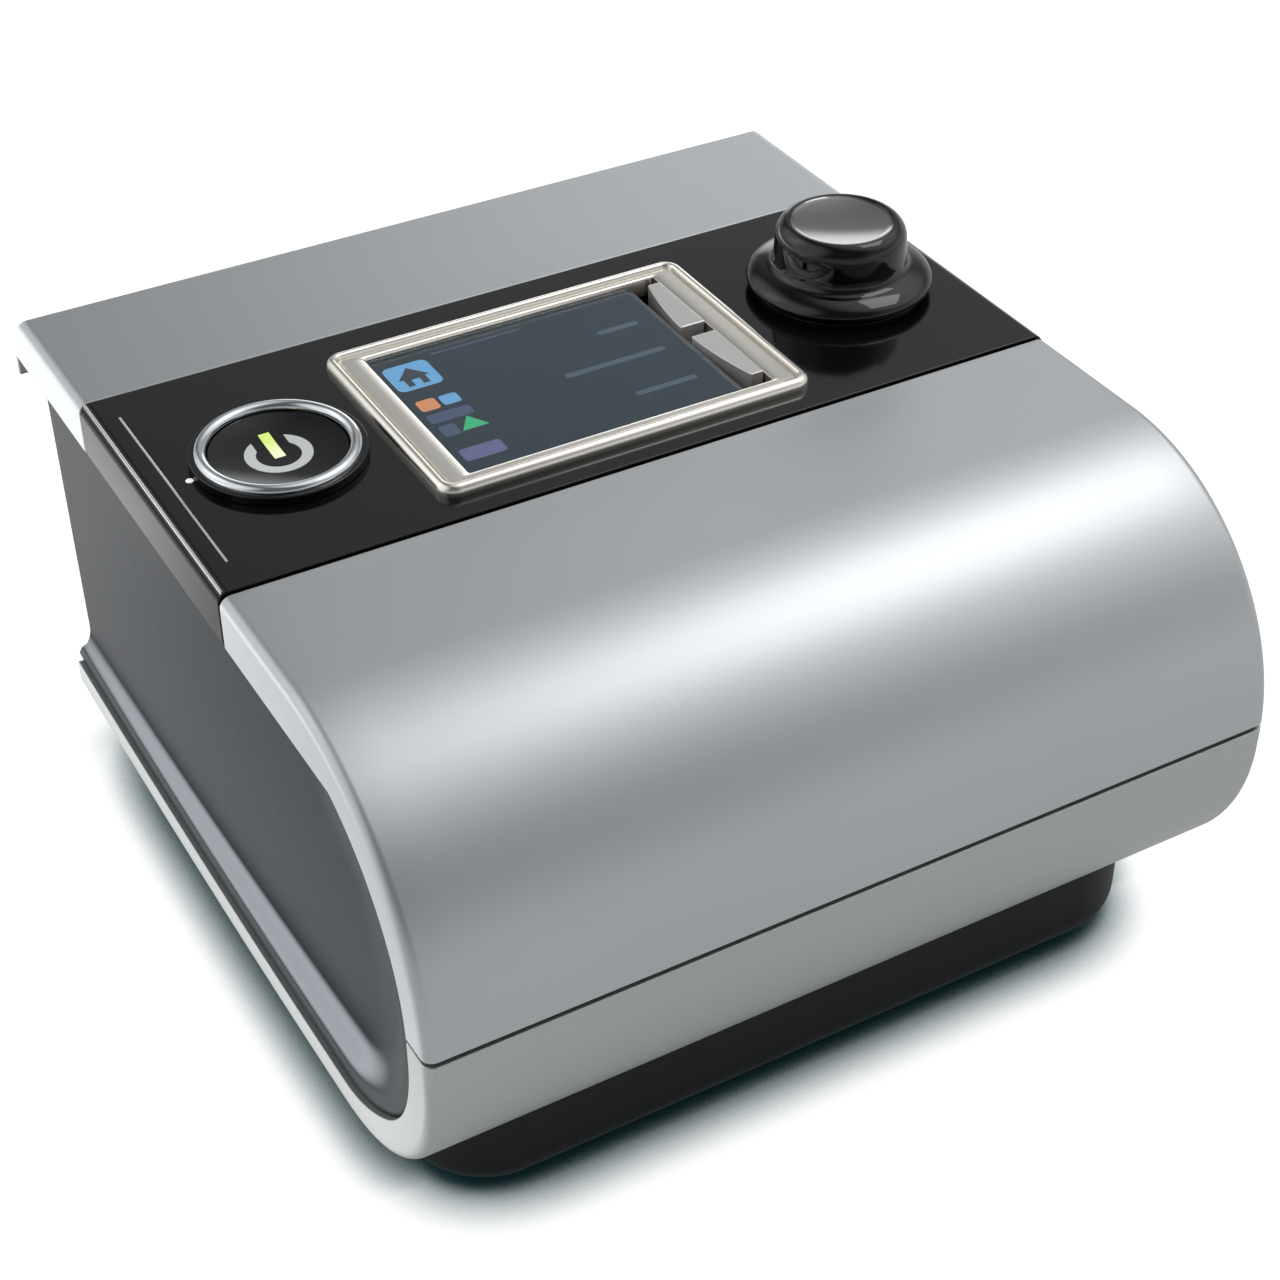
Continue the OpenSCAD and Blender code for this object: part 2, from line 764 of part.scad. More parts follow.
module display_bezel() {
    z = band_top;
    color([0.72, 0.7, 0.66]) place() difference() {
        union() {
            // Stepped, chamfered frame.
            translate([bezel_x, bezel_y, z]) slab(bezel_w, bezel_d, bezel_h * 0.45, bezel_r);
            translate([bezel_x, bezel_y, z]) slab(bezel_w - 1.6, bezel_d - 1.6, bezel_h * 0.8, bezel_r - 0.8);
            translate([bezel_x, bezel_y, z]) slab(bezel_w - 2.8, bezel_d - 2.8, bezel_h, bezel_r - 1.4);
            translate([bezel_x, bezel_y, deck_low + 0.4])
                slab(bezel_w - 6 - 2 * fit, bezel_d - 6 - 2 * fit, z - deck_low, 1.4);
        }
        translate([well_left, well_front, z - 10]) cube([well_w, well_d, 30]);
    }
}

module display_window() {
    color([0.05, 0.14, 0.18]) place()
        translate([well_left + fit, well_front + fit, window_top - window_t])
            cube([screen_w - fit, well_d - 2 * fit, window_t]);
}

module display_module() {
    color([0.5, 0.52, 0.54]) place() union() {
        translate([well_left + 2 * fit, well_front + 2 * fit, module_top - module_t])
            cube([screen_w - 3 * fit, well_d - 4 * fit, module_t]);
        for (x = [well_left + 3, well_left + screen_w - 3], y = [well_front + 3, well_back - 3])
            translate([x, y, board_top + 0.05]) cylinder(r = 1.6, h = module_top - module_t - board_top);
    }
}

// Plan of one arc-shaped display button. The inner edge bulges towards the screen.
module menu_key_plan(y0, y1) {
    intersection() {
        translate([menu_x - menu_key_w / 2, y0]) square([menu_key_w - slide, y1 - y0]);
        translate([menu_x - menu_key_w / 2 + menu_arc_r, bezel_y]) circle(r = menu_arc_r, $fn = 200);
    }
}

module menu_key(y0, y1, stem_y) {
    union() {
        translate([0, 0, deck_low + 0.5]) linear_extrude(menu_top - deck_low - 0.5)
            menu_key_plan(y0, y1);
        translate([menu_x, stem_y, switch_top + menu_travel + 0.1])
            cylinder(r = 1.5, h = deck_low + 1 - switch_top - menu_travel - 0.1);
    }
}

module home_button() {
    y0 = bezel_y + menu_gap / 2;
    y1 = min(y0 + menu_key_l, well_back - slide);
    color([0.75, 0.74, 0.72]) place() menu_key(y0, y1, y0 + menu_key_l / 2);
}

module info_button() {
    y1 = bezel_y - menu_gap / 2;
    y0 = max(y1 - menu_key_l, well_front + slide);
    color([0.75, 0.74, 0.72]) place() menu_key(y0, y1, y1 - menu_key_l / 2);
}

module start_collar() {
    color([0.07, 0.07, 0.08]) place() translate([start_x, start_y, band_top])
        tube(collar_r, cap_r + slide, collar_h);
}

module start_ring() {
    color([0.85, 0.86, 0.87]) place() translate([start_x, start_y, collar_top])
        rotate_extrude() intersection() {
            translate([ring_r, 0]) circle(r = ring_t / 2);
            translate([0, 0]) square([ring_r * 2, ring_t]);
        }
}

// Power symbol: an open ring with a short bar through the gap.
module power_plan(grow) {
    difference() {
        circle(r = light_out + grow);
        circle(r = light_in - grow);
        translate([-light_bar - 0.9 + grow, 0]) square([2 * light_bar + 1.8 - 2 * grow, light_out * 2]);
    }
    translate([-light_bar / 2 - grow, -0.6 - grow])
        square([light_bar + 2 * grow, light_out + 1.4 + 2 * grow]);
}

module start_button() {
    color([0.06, 0.06, 0.07]) place() translate([start_x, start_y, 0]) difference() {
        union() {
            translate([0, 0, deck_low + 0.8]) cylinder(r = cap_r, h = cap_top - deck_low - 0.8);
            translate([0, 0, switch_top + start_travel + 0.1])
                cylinder(r = stem_r, h = deck_low + 1 - switch_top - start_travel);
        }
        translate([0, 0, dish_z()]) sphere(r = dish_r, $fn = 180);
        translate([0, 0, cap_top - 2.4]) linear_extrude(5) power_plan(thin);
    }
}

module start_light() {
    color([0.7, 0.85, 0.3]) place() translate([start_x, start_y, 0]) difference() {
        translate([0, 0, cap_top - 2.4]) linear_extrude(2.4) power_plan(0);
        translate([0, 0, dish_z() + 0.1]) sphere(r = dish_r, $fn = 180);
    }
}

module dial_collar() {
    color([0.09, 0.09, 0.1]) place() translate([dial_x, dial_y, band_top]) union() {
        tube(skirt_r - 1.4, skirt_r - 3.2, 0.4);
        tube(grip_r - 2.1, hub_r + 0.9, 2);
    }
}

module dial_knob() {
    wall_k = 1.6;
    top = dial_top;
    shoulder = 2.6;
    flare = skirt_r - grip_r;
    color([0.05, 0.05, 0.06]) place() translate([dial_x, dial_y, 0]) rotate_extrude($fn = 96)
        difference() {
            polygon(concat(
                [[0, grip_low - 6 + 4.4], [0, top - 0.55]],
                [for (i = [1 : 6]) [8.2 * i / 6, top - 0.55 + 0.55 * pow(i / 6, 2)]],
                [for (a = [75 : -15 : 0])
                    [8.2 + (grip_r - 8.6) * cos(a), top - shoulder + shoulder * sin(a)]],
                [for (a = [0 : 15 : 90])
                    [grip_r + flare * (1 - cos(a)), grip_low - (grip_low - skirt_low - skirt_t) * sin(a)]],
                [[skirt_r, skirt_low + skirt_t * 0.5], [skirt_r - 0.5, skirt_low]],
                [[grip_r - 1.4, skirt_low]]
            ));
            // Hollow between the grip and the hub, and the shaft's bore.
            translate([hub_r, skirt_low - 1]) square([grip_r - wall_k - hub_r, top - 3.6 - skirt_low + 1]);
            translate([0, skirt_low - 1]) square([shaft_r + thin, top - 2.6 - skirt_low + 1]);
            translate([0, 0]) square([grip_r - wall_k, skirt_low + 1.4]);
        }
}

module dial_shaft() {
    color([0.75, 0.75, 0.77]) place() translate([dial_x, dial_y, shaft_low])
        cylinder(r = shaft_r, h = dial_top - 2.7 - shaft_low);
}

module dial_plunger() {
    color([0.85, 0.85, 0.8]) place() translate([dial_x, dial_y, plunger_low]) difference() {
        cylinder(r = plunger_r, h = plunger_h);
        translate([0, 0, shaft_low - plunger_low - run]) cylinder(r = shaft_r + run, h = plunger_h);
    }
}

module dial_encoder() {
    color([0.4, 0.42, 0.4]) place() translate([dial_x, dial_y, board_top]) difference() {
        union() {
            translate([-encoder_w / 2, -encoder_w / 2, 0]) cube([encoder_w, encoder_w, encoder_h]);
            cylinder(r = hub_r + 0.5, h = band_top - board_top + 0.6);
        }
        translate([0, 0, encoder_floor]) cylinder(r = plunger_r + run, h = plunger_h + 2);
        cylinder(r = shaft_r + run, h = big);
    }
}

module control_board() {
    w = 2 * board_half;
    color([0.1, 0.35, 0.18]) place() difference() {
        translate([-w / 2, band_front + 0.5, board_top - board_t]) cube([w, band_d - 1, board_t]);
        for (x = [-post_x, post_x], y = [band_front + 4, band_back - 4])
            translate([x, y, board_top - 5]) cylinder(r = 1.1, h = 10);
    }
}

module push_switches() {
    color([0.3, 0.3, 0.31]) place() {
        for (p = [
            [start_x, start_y],
            [menu_x, bezel_y + menu_gap / 2 + menu_key_l / 2],
            [menu_x, bezel_y - menu_gap / 2 - menu_key_l / 2]
        ])
            translate([p[0], p[1], board_top]) {
                translate([-3, -3, 0]) cube([6, 6, switch_h - 1]);
                cylinder(r = 1.6, h = switch_h);
            }
    }
}

module board_screws() {
    color([0.7, 0.7, 0.72]) place()
        for (x = [-post_x, post_x], y = [band_front + 4, band_back - 4])
            translate([x, y, board_top - board_t - 1.2]) {
                cylinder(r = 2, h = 1.2);
                cylinder(r = 1, h = 1.2 + board_t + 3);
            }
}

// ---------------------------------------------------------------- rear pieces

module air_outlet() {
    neck = outlet_r - 0.4;
    y0 = pocket_y + 0.6;
    color([0.85, 0.86, 0.87]) place() translate([outlet_x, 0, outlet_z]) lay_y() difference() {
        union() {
            translate([0, 0, y0]) cylinder(r = outlet_r, h = outlet_end - y0);
            translate([0, 0, pocket_y - 9]) cylinder(r = neck, h = 9 + 0.6);
            translate([0, 0, pocket_y - 4.2]) cylinder(r = outlet_r + 2, h = 1.9);
        }
        translate([0, 0, pocket_y - 10]) cylinder(r = outlet_r - outlet_wall, h = big);
    }
}

module filter_cover() {
    color([0.17, 0.18, 0.19]) place() difference() {
        union() {
            translate([filter_x - filter_cover_w / 2, rear_y + 0.2, filter_pivot_z + 3])
                cube([filter_cover_w, filter_cover_t, filter_cover_h - 0.6]);
            translate([filter_x - filter_cover_w / 2 + 8, rear_y + 0.2, filter_pivot_z])
                cube([filter_cover_w - 16, filter_cover_t, 4]);
            translate([filter_x, filter_pivot_y, filter_pivot_z]) rotate([0, 90, 0])
                cylinder(r = hinge_r, h = filter_cover_w - 6, center = true);
        }
        // Intake slots.
        for (i = [0 : 5])
            translate([filter_x - filter_w / 2 + 3, rear_y - 1, filter_pivot_z + 9 + i * 4.6])
                cube([filter_w - 6, 5, 2.2]);
    }
}

module filter_frame() {
    color([0.6, 0.62, 0.62]) place()
        translate([filter_x, rear_y - filter_t - 0.95, filter_z]) rotate([-90, 0, 0]) difference() {
            translate([-filter_w / 2, -filter_h / 2, 0]) cube([filter_w, filter_h, 0.8]);
            translate([-filter_w / 2 + 2.4, -filter_h / 2 + 2.4, -1])
                cube([filter_w - 4.8, filter_h - 4.8, 4]);
        }
}

module air_filter() {
    color([0.92, 0.92, 0.9]) place()
        translate([filter_x - filter_w / 2, rear_y - filter_t + 0.1, filter_z - filter_h / 2])
            cube([filter_w, filter_t - 0.2, filter_h]);
}

module power_inlet() {
    color([0.12, 0.12, 0.13]) place() difference() {
        union() {
            translate([power_x, rear_in - 10, power_z]) lay_y() cylinder(r = power_r, h = 10 + rear_t - 0.4);
            translate([power_x - 8, rear_in - 12, power_z - 8]) cube([16, 11.8, 16]);
        }
        translate([power_x, rear_in - 9, power_z]) lay_y() cylinder(r = power_r - 0.9, h = 20);
    }
    color([0.8, 0.7, 0.4]) place() for (a = [0 : 120 : 240])
        translate([power_x + 2.2 * cos(a), rear_in - 10, power_z + 2.2 * sin(a)]) lay_y()
            cylinder(r = 0.6, h = 5);
}

module power_clip() {
    py = clip_pivot_y;
    pz = clip_pivot_z;
    arm = 7.2;
    color([0.75, 0.76, 0.77]) place() union() {
        for (s = [-1, 1]) {
            translate([power_x + s * (arm + 0.8) - 0.8, py - 1.1, power_z - 7.6]) cube([1.6, 2.2, 16.2]);
            translate([power_x + s * (arm + 0.8), py, pz]) rotate([0, 90, 0])
                cylinder(r = 1.3, h = 1.6, center = true);
            translate([power_x + s * (arm + 2.6), py, pz]) rotate([0, 90, 0])
                cylinder(r = clip_pin_r, h = 4.4, center = true);
        }
        translate([power_x - arm - 1.6, py - 1.1, power_z - 8.4]) cube([2 * arm + 3.2, 2.2, 2]);
    }
}

module port_cover() {
    color([0.22, 0.23, 0.24]) place() union() {
        translate([port_pivot_x + 2.2, rear_y + 0.2, port_z - port_h / 2 - 1])
            cube([port_w + 0.8, 1.5, port_h + 2]);
        translate([port_pivot_x, rear_y + 0.55, port_z - 2.6]) cube([3, 1.2, 5.2]);
        translate([port_pivot_x, port_pivot_y, port_z])
            cylinder(r = port_pin_r, h = port_h + 6, center = true);
    }
}

module data_connector() {
    w = port_w - 3;
    color([0.75, 0.76, 0.77]) place() difference() {
        union() {
            translate([port_x - w / 2, rear_in - 9, port_z - 3.8])
                cube([w, 8.8, main_z - port_z + 3.8 - 0.05]);
            translate([port_x - w / 2, rear_in - 1, port_z - 3.8]) cube([w, 2.6, 7.6]);
        }
        translate([port_x - w / 2 + 0.8, rear_in - 7, port_z - 3]) cube([w - 1.6, 20, 6]);
    }
}

module card_socket() {
    color([0.78, 0.79, 0.8]) place() difference() {
        translate([card_x - card_w / 2 - 1.4, rear_in - card_l + 5, main_z + board_t + 0.05])
            cube([card_w + 2.8, card_l - 5.2, card_t + 1.9]);
        translate([card_x - card_w / 2 - 0.3, rear_in - card_l + 6, card_z - card_t / 2 - 0.3])
            cube([card_w + 0.6, card_l, card_t + 0.6]);
    }
}

module memory_card() {
    y1 = rear_y + card_out;
    color([0.14, 0.25, 0.5]) place() difference() {
        translate([card_x - card_w / 2, y1 - card_l, card_z - card_t / 2]) cube([card_w, card_l, card_t]);
        translate([card_x + card_w / 2 - 4, y1 - card_l - 1, card_z - card_t]) rotate([0, 0, -45])
            translate([0, -6, 0]) cube([12, 6, 2 * card_t]);
    }
}

module main_board() {
    color([0.1, 0.35, 0.18]) place() difference() {
        translate([main_x0, main_y0, main_z])
            cube([main_x1 - main_x0, rear_in - main_y0 - 1.2, board_t]);
        for (x = [main_x0 + 3, main_x1 - 3], y = [main_y0 + 3, main_y0 + 38])
            translate([x, y, main_z - 1]) cylinder(r = 1.1, h = 5);
    }
}

module board_parts() {
    z = main_z + board_t;
    color([0.15, 0.15, 0.17]) place() {
        translate([main_x0 + 10, main_y0 + 3, z]) cube([10, 10, 1.4]);
        translate([main_x0 + 24, main_y0 + 7, z]) cube([7, 5, 1.6]);
        for (dy = [9, 16]) translate([main_x0 + 4, main_y0 + dy, z]) cylinder(r = 2.5, h = 7);
    }
}

module inner_chassis() {
    color([0.24, 0.25, 0.27]) place() difference() {
        union() {
            translate([-chassis_half, chassis_y0, chassis_z])
                cube([2 * chassis_half, chassis_y1 - chassis_y0, chassis_t]);
            for (x = [main_x0 + 3, main_x1 - 3], y = [main_y0 + 3, main_y0 + 38])
                translate([x, y, chassis_z]) cylinder(r = 2.6, h = main_z - chassis_z - 0.02);
            for (x = [1.5 - chassis_half, chassis_half - 1.5], y = [50, chassis_y1 - 26])
                translate([x - 1.5, y - 2, belly_z(y) + wall + fit])
                    cube([3, 4, chassis_z - belly_z(y) - wall]);
        }
        translate([blower_x, blower_y, chassis_z - 1]) cylinder(r = 16, h = 5);
        translate([filter_x - filter_w / 2, foam_y0 - 4, chassis_z - 1]) cube([20, 40, 5]);
        translate([port_x - port_w / 2, rear_in - 11, chassis_z - 1]) cube([port_w, 20, 5]);
        translate([-half_w, chassis_y1 - 5.2, chassis_z - 1]) cube([body_w, 20, 5]);
        translate([outlet_x - pocket_r - 4, pocket_y - 10, chassis_z - 1]) cube([2 * pocket_r + 8, 30, 5]);
    }
}

module flat_cable() {
    color([0.85, 0.85, 0.83]) place() {
        low = main_z + board_t;
        high = board_top - board_t - 0.7;
        translate([cable_x, cable_y - 26.6, high]) cube([cable_w, 27, 0.4]);
        translate([cable_x, cable_y, low + 4.4]) cube([cable_w, 0.4, high - low - 4]);
        translate([cable_x, cable_y, low + 0.05]) cube([cable_w, 4, 4.4]);
    }
}

// ---------------------------------------------------------------- blower

// Radius of the volute's scroll at an angle in degrees.
function scroll_r(a) = volute_r + volute_grow * a / 360;

// Plan of the air space: the scroll and its straight throat.
module air_plan(grow) {
    polygon([for (a = [tongue : scroll_step : 360])
        [(scroll_r(a) + grow) * cos(a), (scroll_r(a) + grow) * sin(a)]]);
    translate([duct_in - grow, -eps])
        square([duct_out - duct_in + 2 * grow, throat_y - blower_y + eps]);
}

module volute_half(eye) {
    difference() {
        linear_extrude(volute_h / 2) air_plan(volute_wall);
        translate([0, 0, volute_wall]) linear_extrude(volute_h) air_plan(0);
        translate([0, 0, -1]) cylinder(r = eye, h = volute_h);
    }
}

module volute_lower() {
    color([0.35, 0.36, 0.38]) place() translate([blower_x, blower_y, volute_low]) union() {
        difference() {
            union() {
                volute_half(bearing_r + 0.4);
                cylinder(r = bearing_r + 1.8, h = bearing_h + 0.6);
            }
            translate([0, 0, -1]) cylinder(r = bearing_r + run, h = bearing_h + 1);
            cylinder(r = axle_r + 0.6, h = 10);
        }
    }
}

module volute_upper() {
    color([0.4, 0.41, 0.43]) place() translate([blower_x, blower_y, volute_top]) mirror([0, 0, 1])
        union() {
            volute_half(13);
            // Bell-shaped lip of the intake.
            translate([0, 0, -1.6]) tube(14.6, 13, 1.8);
        }
}

module impeller() {
    z = fan_low;
    lean = 0.62 * fan_r;
    color([0.9, 0.9, 0.88]) place() translate([blower_x, blower_y, z]) difference() {
        union() {
            cylinder(r = fan_r, h = fan_disc);
            cylinder(r = 5, h = blade_h - 1);
            translate([0, 0, blade_h]) tube(fan_r, 14, 1);
            linear_extrude(blade_h + 0.5) intersection() {
                difference() {
                    circle(r = fan_r - 0.2);
                    circle(r = fan_eye);
                }
                for (i = [0 : blades - 1]) rotate(i * 360 / blades) translate([0, -lean])
                    difference() {
                        circle(r = lean + 0.5);
                        circle(r = lean - 0.5);
                        translate([-2 * fan_r, -2 * fan_r]) square([2 * fan_r, 4 * fan_r]);
                    }
            }
        }
        translate([0, 0, -1]) cylinder(r = axle_r + thin, h = blade_h + 2);
    }
}

module fan_shaft() {
    color([0.7, 0.7, 0.72]) place() translate([blower_x, blower_y, bottom_bearing + 0.2])
        cylinder(r = axle_r, h = fan_low + blade_h - 1.4 - bottom_bearing);
}

module rotor_magnet() {
    z = bottom_bearing + bearing_h + 0.5;
    color([0.25, 0.25, 0.27]) place() translate([blower_x, blower_y, z])
        tube(motor_r - 8, axle_r + thin, volute_low - z - 1.6);
}

module motor_stator() {
    z = bottom_bearing + bearing_h + 0.7;
    h = volute_low - z - 1.8;
    color([0.72, 0.42, 0.2]) place() translate([blower_x, blower_y, z]) union() {
        tube(motor_r, motor_r - 2, h);
        for (i = [0 : 8]) rotate(i * 40) {
            intersection() {
                translate([motor_r - 7.4, -0.9, 0.6]) cube([6.6, 1.8, h - 1.2]);
                tube(motor_r - 1, motor_r - 7.4, h);
            }
            translate([motor_r - 6, -1.8, 1]) cube([3.4, 3.6, h - 2]);
        }
    }
}

module motor_bearings() {
    color([0.75, 0.76, 0.78]) place() translate([blower_x, blower_y, 0])
        for (z = [bottom_bearing, volute_low]) translate([0, 0, z]) tube(bearing_r, axle_r + run, bearing_h);
}

module motor_cap() {
    color([0.55, 0.56, 0.58]) place() translate([blower_x, blower_y, motor_low]) difference() {
        union() {
            cylinder(r = motor_r + 1.4, h = volute_low - motor_low - 0.02);
        }
        translate([0, 0, bearing_h + 1.4]) cylinder(r = motor_r + 0.05, h = big);
        translate([0, 0, bottom_bearing - motor_low]) cylinder(r = bearing_r + run, h = big);
    }
}

module blower_mounts() {
    color([0.55, 0.56, 0.58]) place() for (a = [100, 200, 320]) {
        x = blower_x + 22 * cos(a);
        y = blower_y + 22 * sin(a);
        z0 = max(belly_z(y - 4), belly_z(y + 4)) + wall + 0.15;
        translate([x, y, z0]) difference() {
            cylinder(r = 4, h = volute_low - z0 - 0.02);
            translate([0, 0, (volute_low - z0) / 2 - 0.8]) tube(6, 3, 1.6);
        }
    }
}

module outlet_duct() {
    y0 = throat_y + 0.1;
    y1 = pocket_y - 4.4;
    w = duct_out - duct_in + 2 * volute_wall;
    r = outlet_r + 0.1;
    n = round((y1 - y0 - 9) / 4.5);
    pitch = (y1 - y0 - 9) / n;
    color([0.6, 0.62, 0.64]) place() translate([outlet_x, y0, outlet_z]) difference() {
        union() {
            translate([-w / 2, 0, -volute_h / 2]) cube([w, 3, volute_h]);
            lay_y() rotate_extrude() union() {
                square([r + 1, y1 - y0]);
                for (i = [0 : n - 1])
                    translate([r + 1, 5 + (i + 0.5) * pitch]) circle(r = 1.35);
            }
        }
        translate([0, -1, 0]) lay_y() cylinder(r = (duct_out - duct_in) / 2 - 0.6, h = 10);
        translate([0, 3, 0]) lay_y() cylinder(r = outlet_r - 0.4 + run, h = big);
    }
}

module inlet_foam() {
    x0 = filter_x - 17.6;
    y0 = foam_y0;
    y1 = foam_y1;
    z0 = shelf + fit;
    color([0.28, 0.28, 0.3]) place() difference() {
        translate([x0, y0, z0]) cube([36, y1 - y0, chassis_z - z0 - fit]);
        translate([x0 + 7, y0 + 7, z0 + 7]) cube([22, y1 - y0, chassis_z - z0 - 14]);
        translate([x0 + 10, y0 - 1, z0 + 12]) cube([16, 20, 14]);
        translate([-half_w + screw_in, screw_rear, 0]) cylinder(r = boss_r + fit, h = shelf + 6 + fit);
    }
}

module flow_sensor() {
    z = outlet_z + outlet_r + 3;
    color([0.12, 0.4, 0.5]) place() {
        y = (throat_y + pocket_y) / 2 - 10;
        translate([outlet_x - 7, y, z]) cube([14, 12, 1.2]);
        translate([outlet_x - 4, y + 3, z + 1.2]) cube([8, 6, 1.8]);
    }
}

module case_screws() {
    color([0.5, 0.5, 0.52]) place()
        for (s = [-1, 1], y = [screw_front, screw_rear])
            translate([s * (half_w - screw_in), y, base_z + 3.2 - 2.2]) {
                difference() {
                    cylinder(r = head_r, h = 2.2);
                    translate([0, 0, -1]) cylinder(r = 1.4, h = 2.2, $fn = 6);
                }
                cylinder(r = screw_r, h = 11);
            }
}

front_cover();
rear_cover();
lower_case();
control_band();
side_panel_left();
side_frame_right();
side_cover_right();
rear_panel();
base_tray();
rubber_feet();
display_bezel();
display_window();
display_module();
home_button();
info_button();
start_collar();
start_ring();
start_button();
start_light();
dial_collar();
dial_knob();
dial_shaft();
dial_plunger();
dial_encoder();
air_outlet();
filter_cover();
air_filter();
filter_frame();
power_inlet();
power_clip();
port_cover();
data_connector();
card_socket();
memory_card();
control_board();
push_switches();
main_board();
board_parts();
flat_cable();
inner_chassis();
volute_lower();
volute_upper();
impeller();
fan_shaft();
rotor_magnet();
motor_stator();
motor_bearings();
motor_cap();
blower_mounts();
inlet_foam();
outlet_duct();
flow_sensor();
case_screws();
board_screws();
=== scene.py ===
import bpy, bmesh, json, math
import numpy as np
from mathutils import Matrix, Vector


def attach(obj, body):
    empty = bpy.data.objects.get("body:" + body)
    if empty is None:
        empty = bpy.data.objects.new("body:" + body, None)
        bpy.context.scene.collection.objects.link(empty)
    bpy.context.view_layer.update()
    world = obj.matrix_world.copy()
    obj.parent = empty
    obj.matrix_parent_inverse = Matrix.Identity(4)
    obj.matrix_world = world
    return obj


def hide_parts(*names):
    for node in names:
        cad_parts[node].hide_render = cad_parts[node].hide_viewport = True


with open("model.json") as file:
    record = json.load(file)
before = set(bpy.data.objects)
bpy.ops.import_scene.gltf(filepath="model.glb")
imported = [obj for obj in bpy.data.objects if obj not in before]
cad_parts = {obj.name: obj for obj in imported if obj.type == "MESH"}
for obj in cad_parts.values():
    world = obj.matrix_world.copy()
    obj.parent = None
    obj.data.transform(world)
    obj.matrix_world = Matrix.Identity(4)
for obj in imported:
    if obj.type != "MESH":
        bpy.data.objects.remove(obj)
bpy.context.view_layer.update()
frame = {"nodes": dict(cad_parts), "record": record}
nodes = frame["nodes"]
scene = bpy.context.scene
scene.view_settings.view_transform = "Standard"

# camera: turned by yaw towards +X and pitched down, with the photograph's own perspective

cameraSet = {"focal": 68.86, "place": (-0.1523, -0.27723, 0.2824),
             "pitch": 0.65496, "yaw": 0.51634, "roll": -0.00284}


def addCamera(s):
    data = bpy.data.cameras.new("studioCamera")
    data.sensor_width = 36
    data.lens = s["focal"]
    data.clip_start = 0.01
    sy, cy, sp, cp = math.sin(s["yaw"]), math.cos(s["yaw"]), math.sin(s["pitch"]), math.cos(s["pitch"])
    forward = Vector((sy * cp, cy * cp, -sp))
    right = Vector((cy, -sy, 0))
    up = right.cross(forward)
    cr, sr = math.cos(s["roll"]), math.sin(s["roll"])
    side, top = right * cr + up * sr, up * cr - right * sr
    cam = bpy.data.objects.new("studioCamera", data)
    cam.matrix_world = Matrix((
        (side.x, top.x, -forward.x, s["place"][0]),
        (side.y, top.y, -forward.y, s["place"][1]),
        (side.z, top.z, -forward.z, s["place"][2]),
        (0, 0, 0, 1)))
    scene.collection.objects.link(cam)
    scene.camera = cam


addCamera(cameraSet)
print("camera ready")

# shared shader groups


def newGroup(name, inputs, outputs):
    g = bpy.data.node_groups.new(name, "ShaderNodeTree")
    for label, kind, value in inputs:
        sock = g.interface.new_socket(label, in_out="INPUT", socket_type=kind)
        sock.default_value = value
    for label, kind in outputs:
        g.interface.new_socket(label, in_out="OUTPUT", socket_type=kind)
    return g, g.nodes.new("NodeGroupInput"), g.nodes.new("NodeGroupOutput")


def mathNode(tree, kind, a, b=None, clamp=False):
    n = tree.nodes.new("ShaderNodeMath")
    n.operation = kind
    n.use_clamp = clamp
    for i, v in enumerate((a, b)):
        if v is None:
            continue
        if isinstance(v, (int, float)):
            n.inputs[i].default_value = v
        else:
            tree.links.new(v, n.inputs[i])
    return n.outputs[0]


def splitXYZ(tree, source, output):
    # the three parts of a vector that a source node puts out
    part = tree.nodes.new("ShaderNodeSeparateXYZ")
    tree.links.new(tree.nodes.new(source).outputs[output], part.inputs[0])
    return part.outputs


def mixColour(tree, factor, a, b):
    # two colours, each a socket or a fixed value, blended by a factor socket
    n = tree.nodes.new("ShaderNodeMix")
    n.data_type = "RGBA"
    for label, v in (("Factor", factor), ("A", a), ("B", b)):
        if isinstance(v, tuple):
            n.inputs[label].default_value = v
        else:
            tree.links.new(v, n.inputs[label])
    return n.outputs["Result"]


def noiseNode(tree, vector, scale, detail=3.0, rough=0.55):
    n = tree.nodes.new("ShaderNodeTexNoise")
    n.inputs["Detail"].default_value = detail
    n.inputs["Roughness"].default_value = rough
    tree.links.new(vector, n.inputs["Vector"])
    if isinstance(scale, (int, float)):
        n.inputs["Scale"].default_value = scale
    else:
        tree.links.new(scale, n.inputs["Scale"])
    return n.outputs["Fac"]


def makeGrainGroup():
    # moulded or lacquered grain: fine height, a slow cloud of tone and a speckle of roughness
    g, gi, go = newGroup("surfaceGrain", [
        ("Scale", "NodeSocketFloat", 900.0), ("Cloud", "NodeSocketFloat", 25.0)],
        [("Height", "NodeSocketFloat"), ("Tone", "NodeSocketFloat"), ("Speck", "NodeSocketFloat")])
    coord = g.nodes.new("ShaderNodeTexCoord").outputs["Object"]
    fine = noiseNode(g, coord, gi.outputs["Scale"], 2.0, 0.6)
    wide = noiseNode(g, coord, gi.outputs["Cloud"], 4.0, 0.5)
    cell = g.nodes.new("ShaderNodeTexVoronoi")
    cell.feature = "SMOOTH_F1"
    g.links.new(coord, cell.inputs["Vector"])
    g.links.new(gi.outputs["Scale"], cell.inputs["Scale"])
    blend = mathNode(g, "ADD", mathNode(g, "MULTIPLY", fine, 0.6),
                     mathNode(g, "MULTIPLY", cell.outputs["Distance"], 0.4))
    g.links.new(blend, go.inputs["Height"])
    g.links.new(wide, go.inputs["Tone"])
    g.links.new(fine, go.inputs["Speck"])
    return g


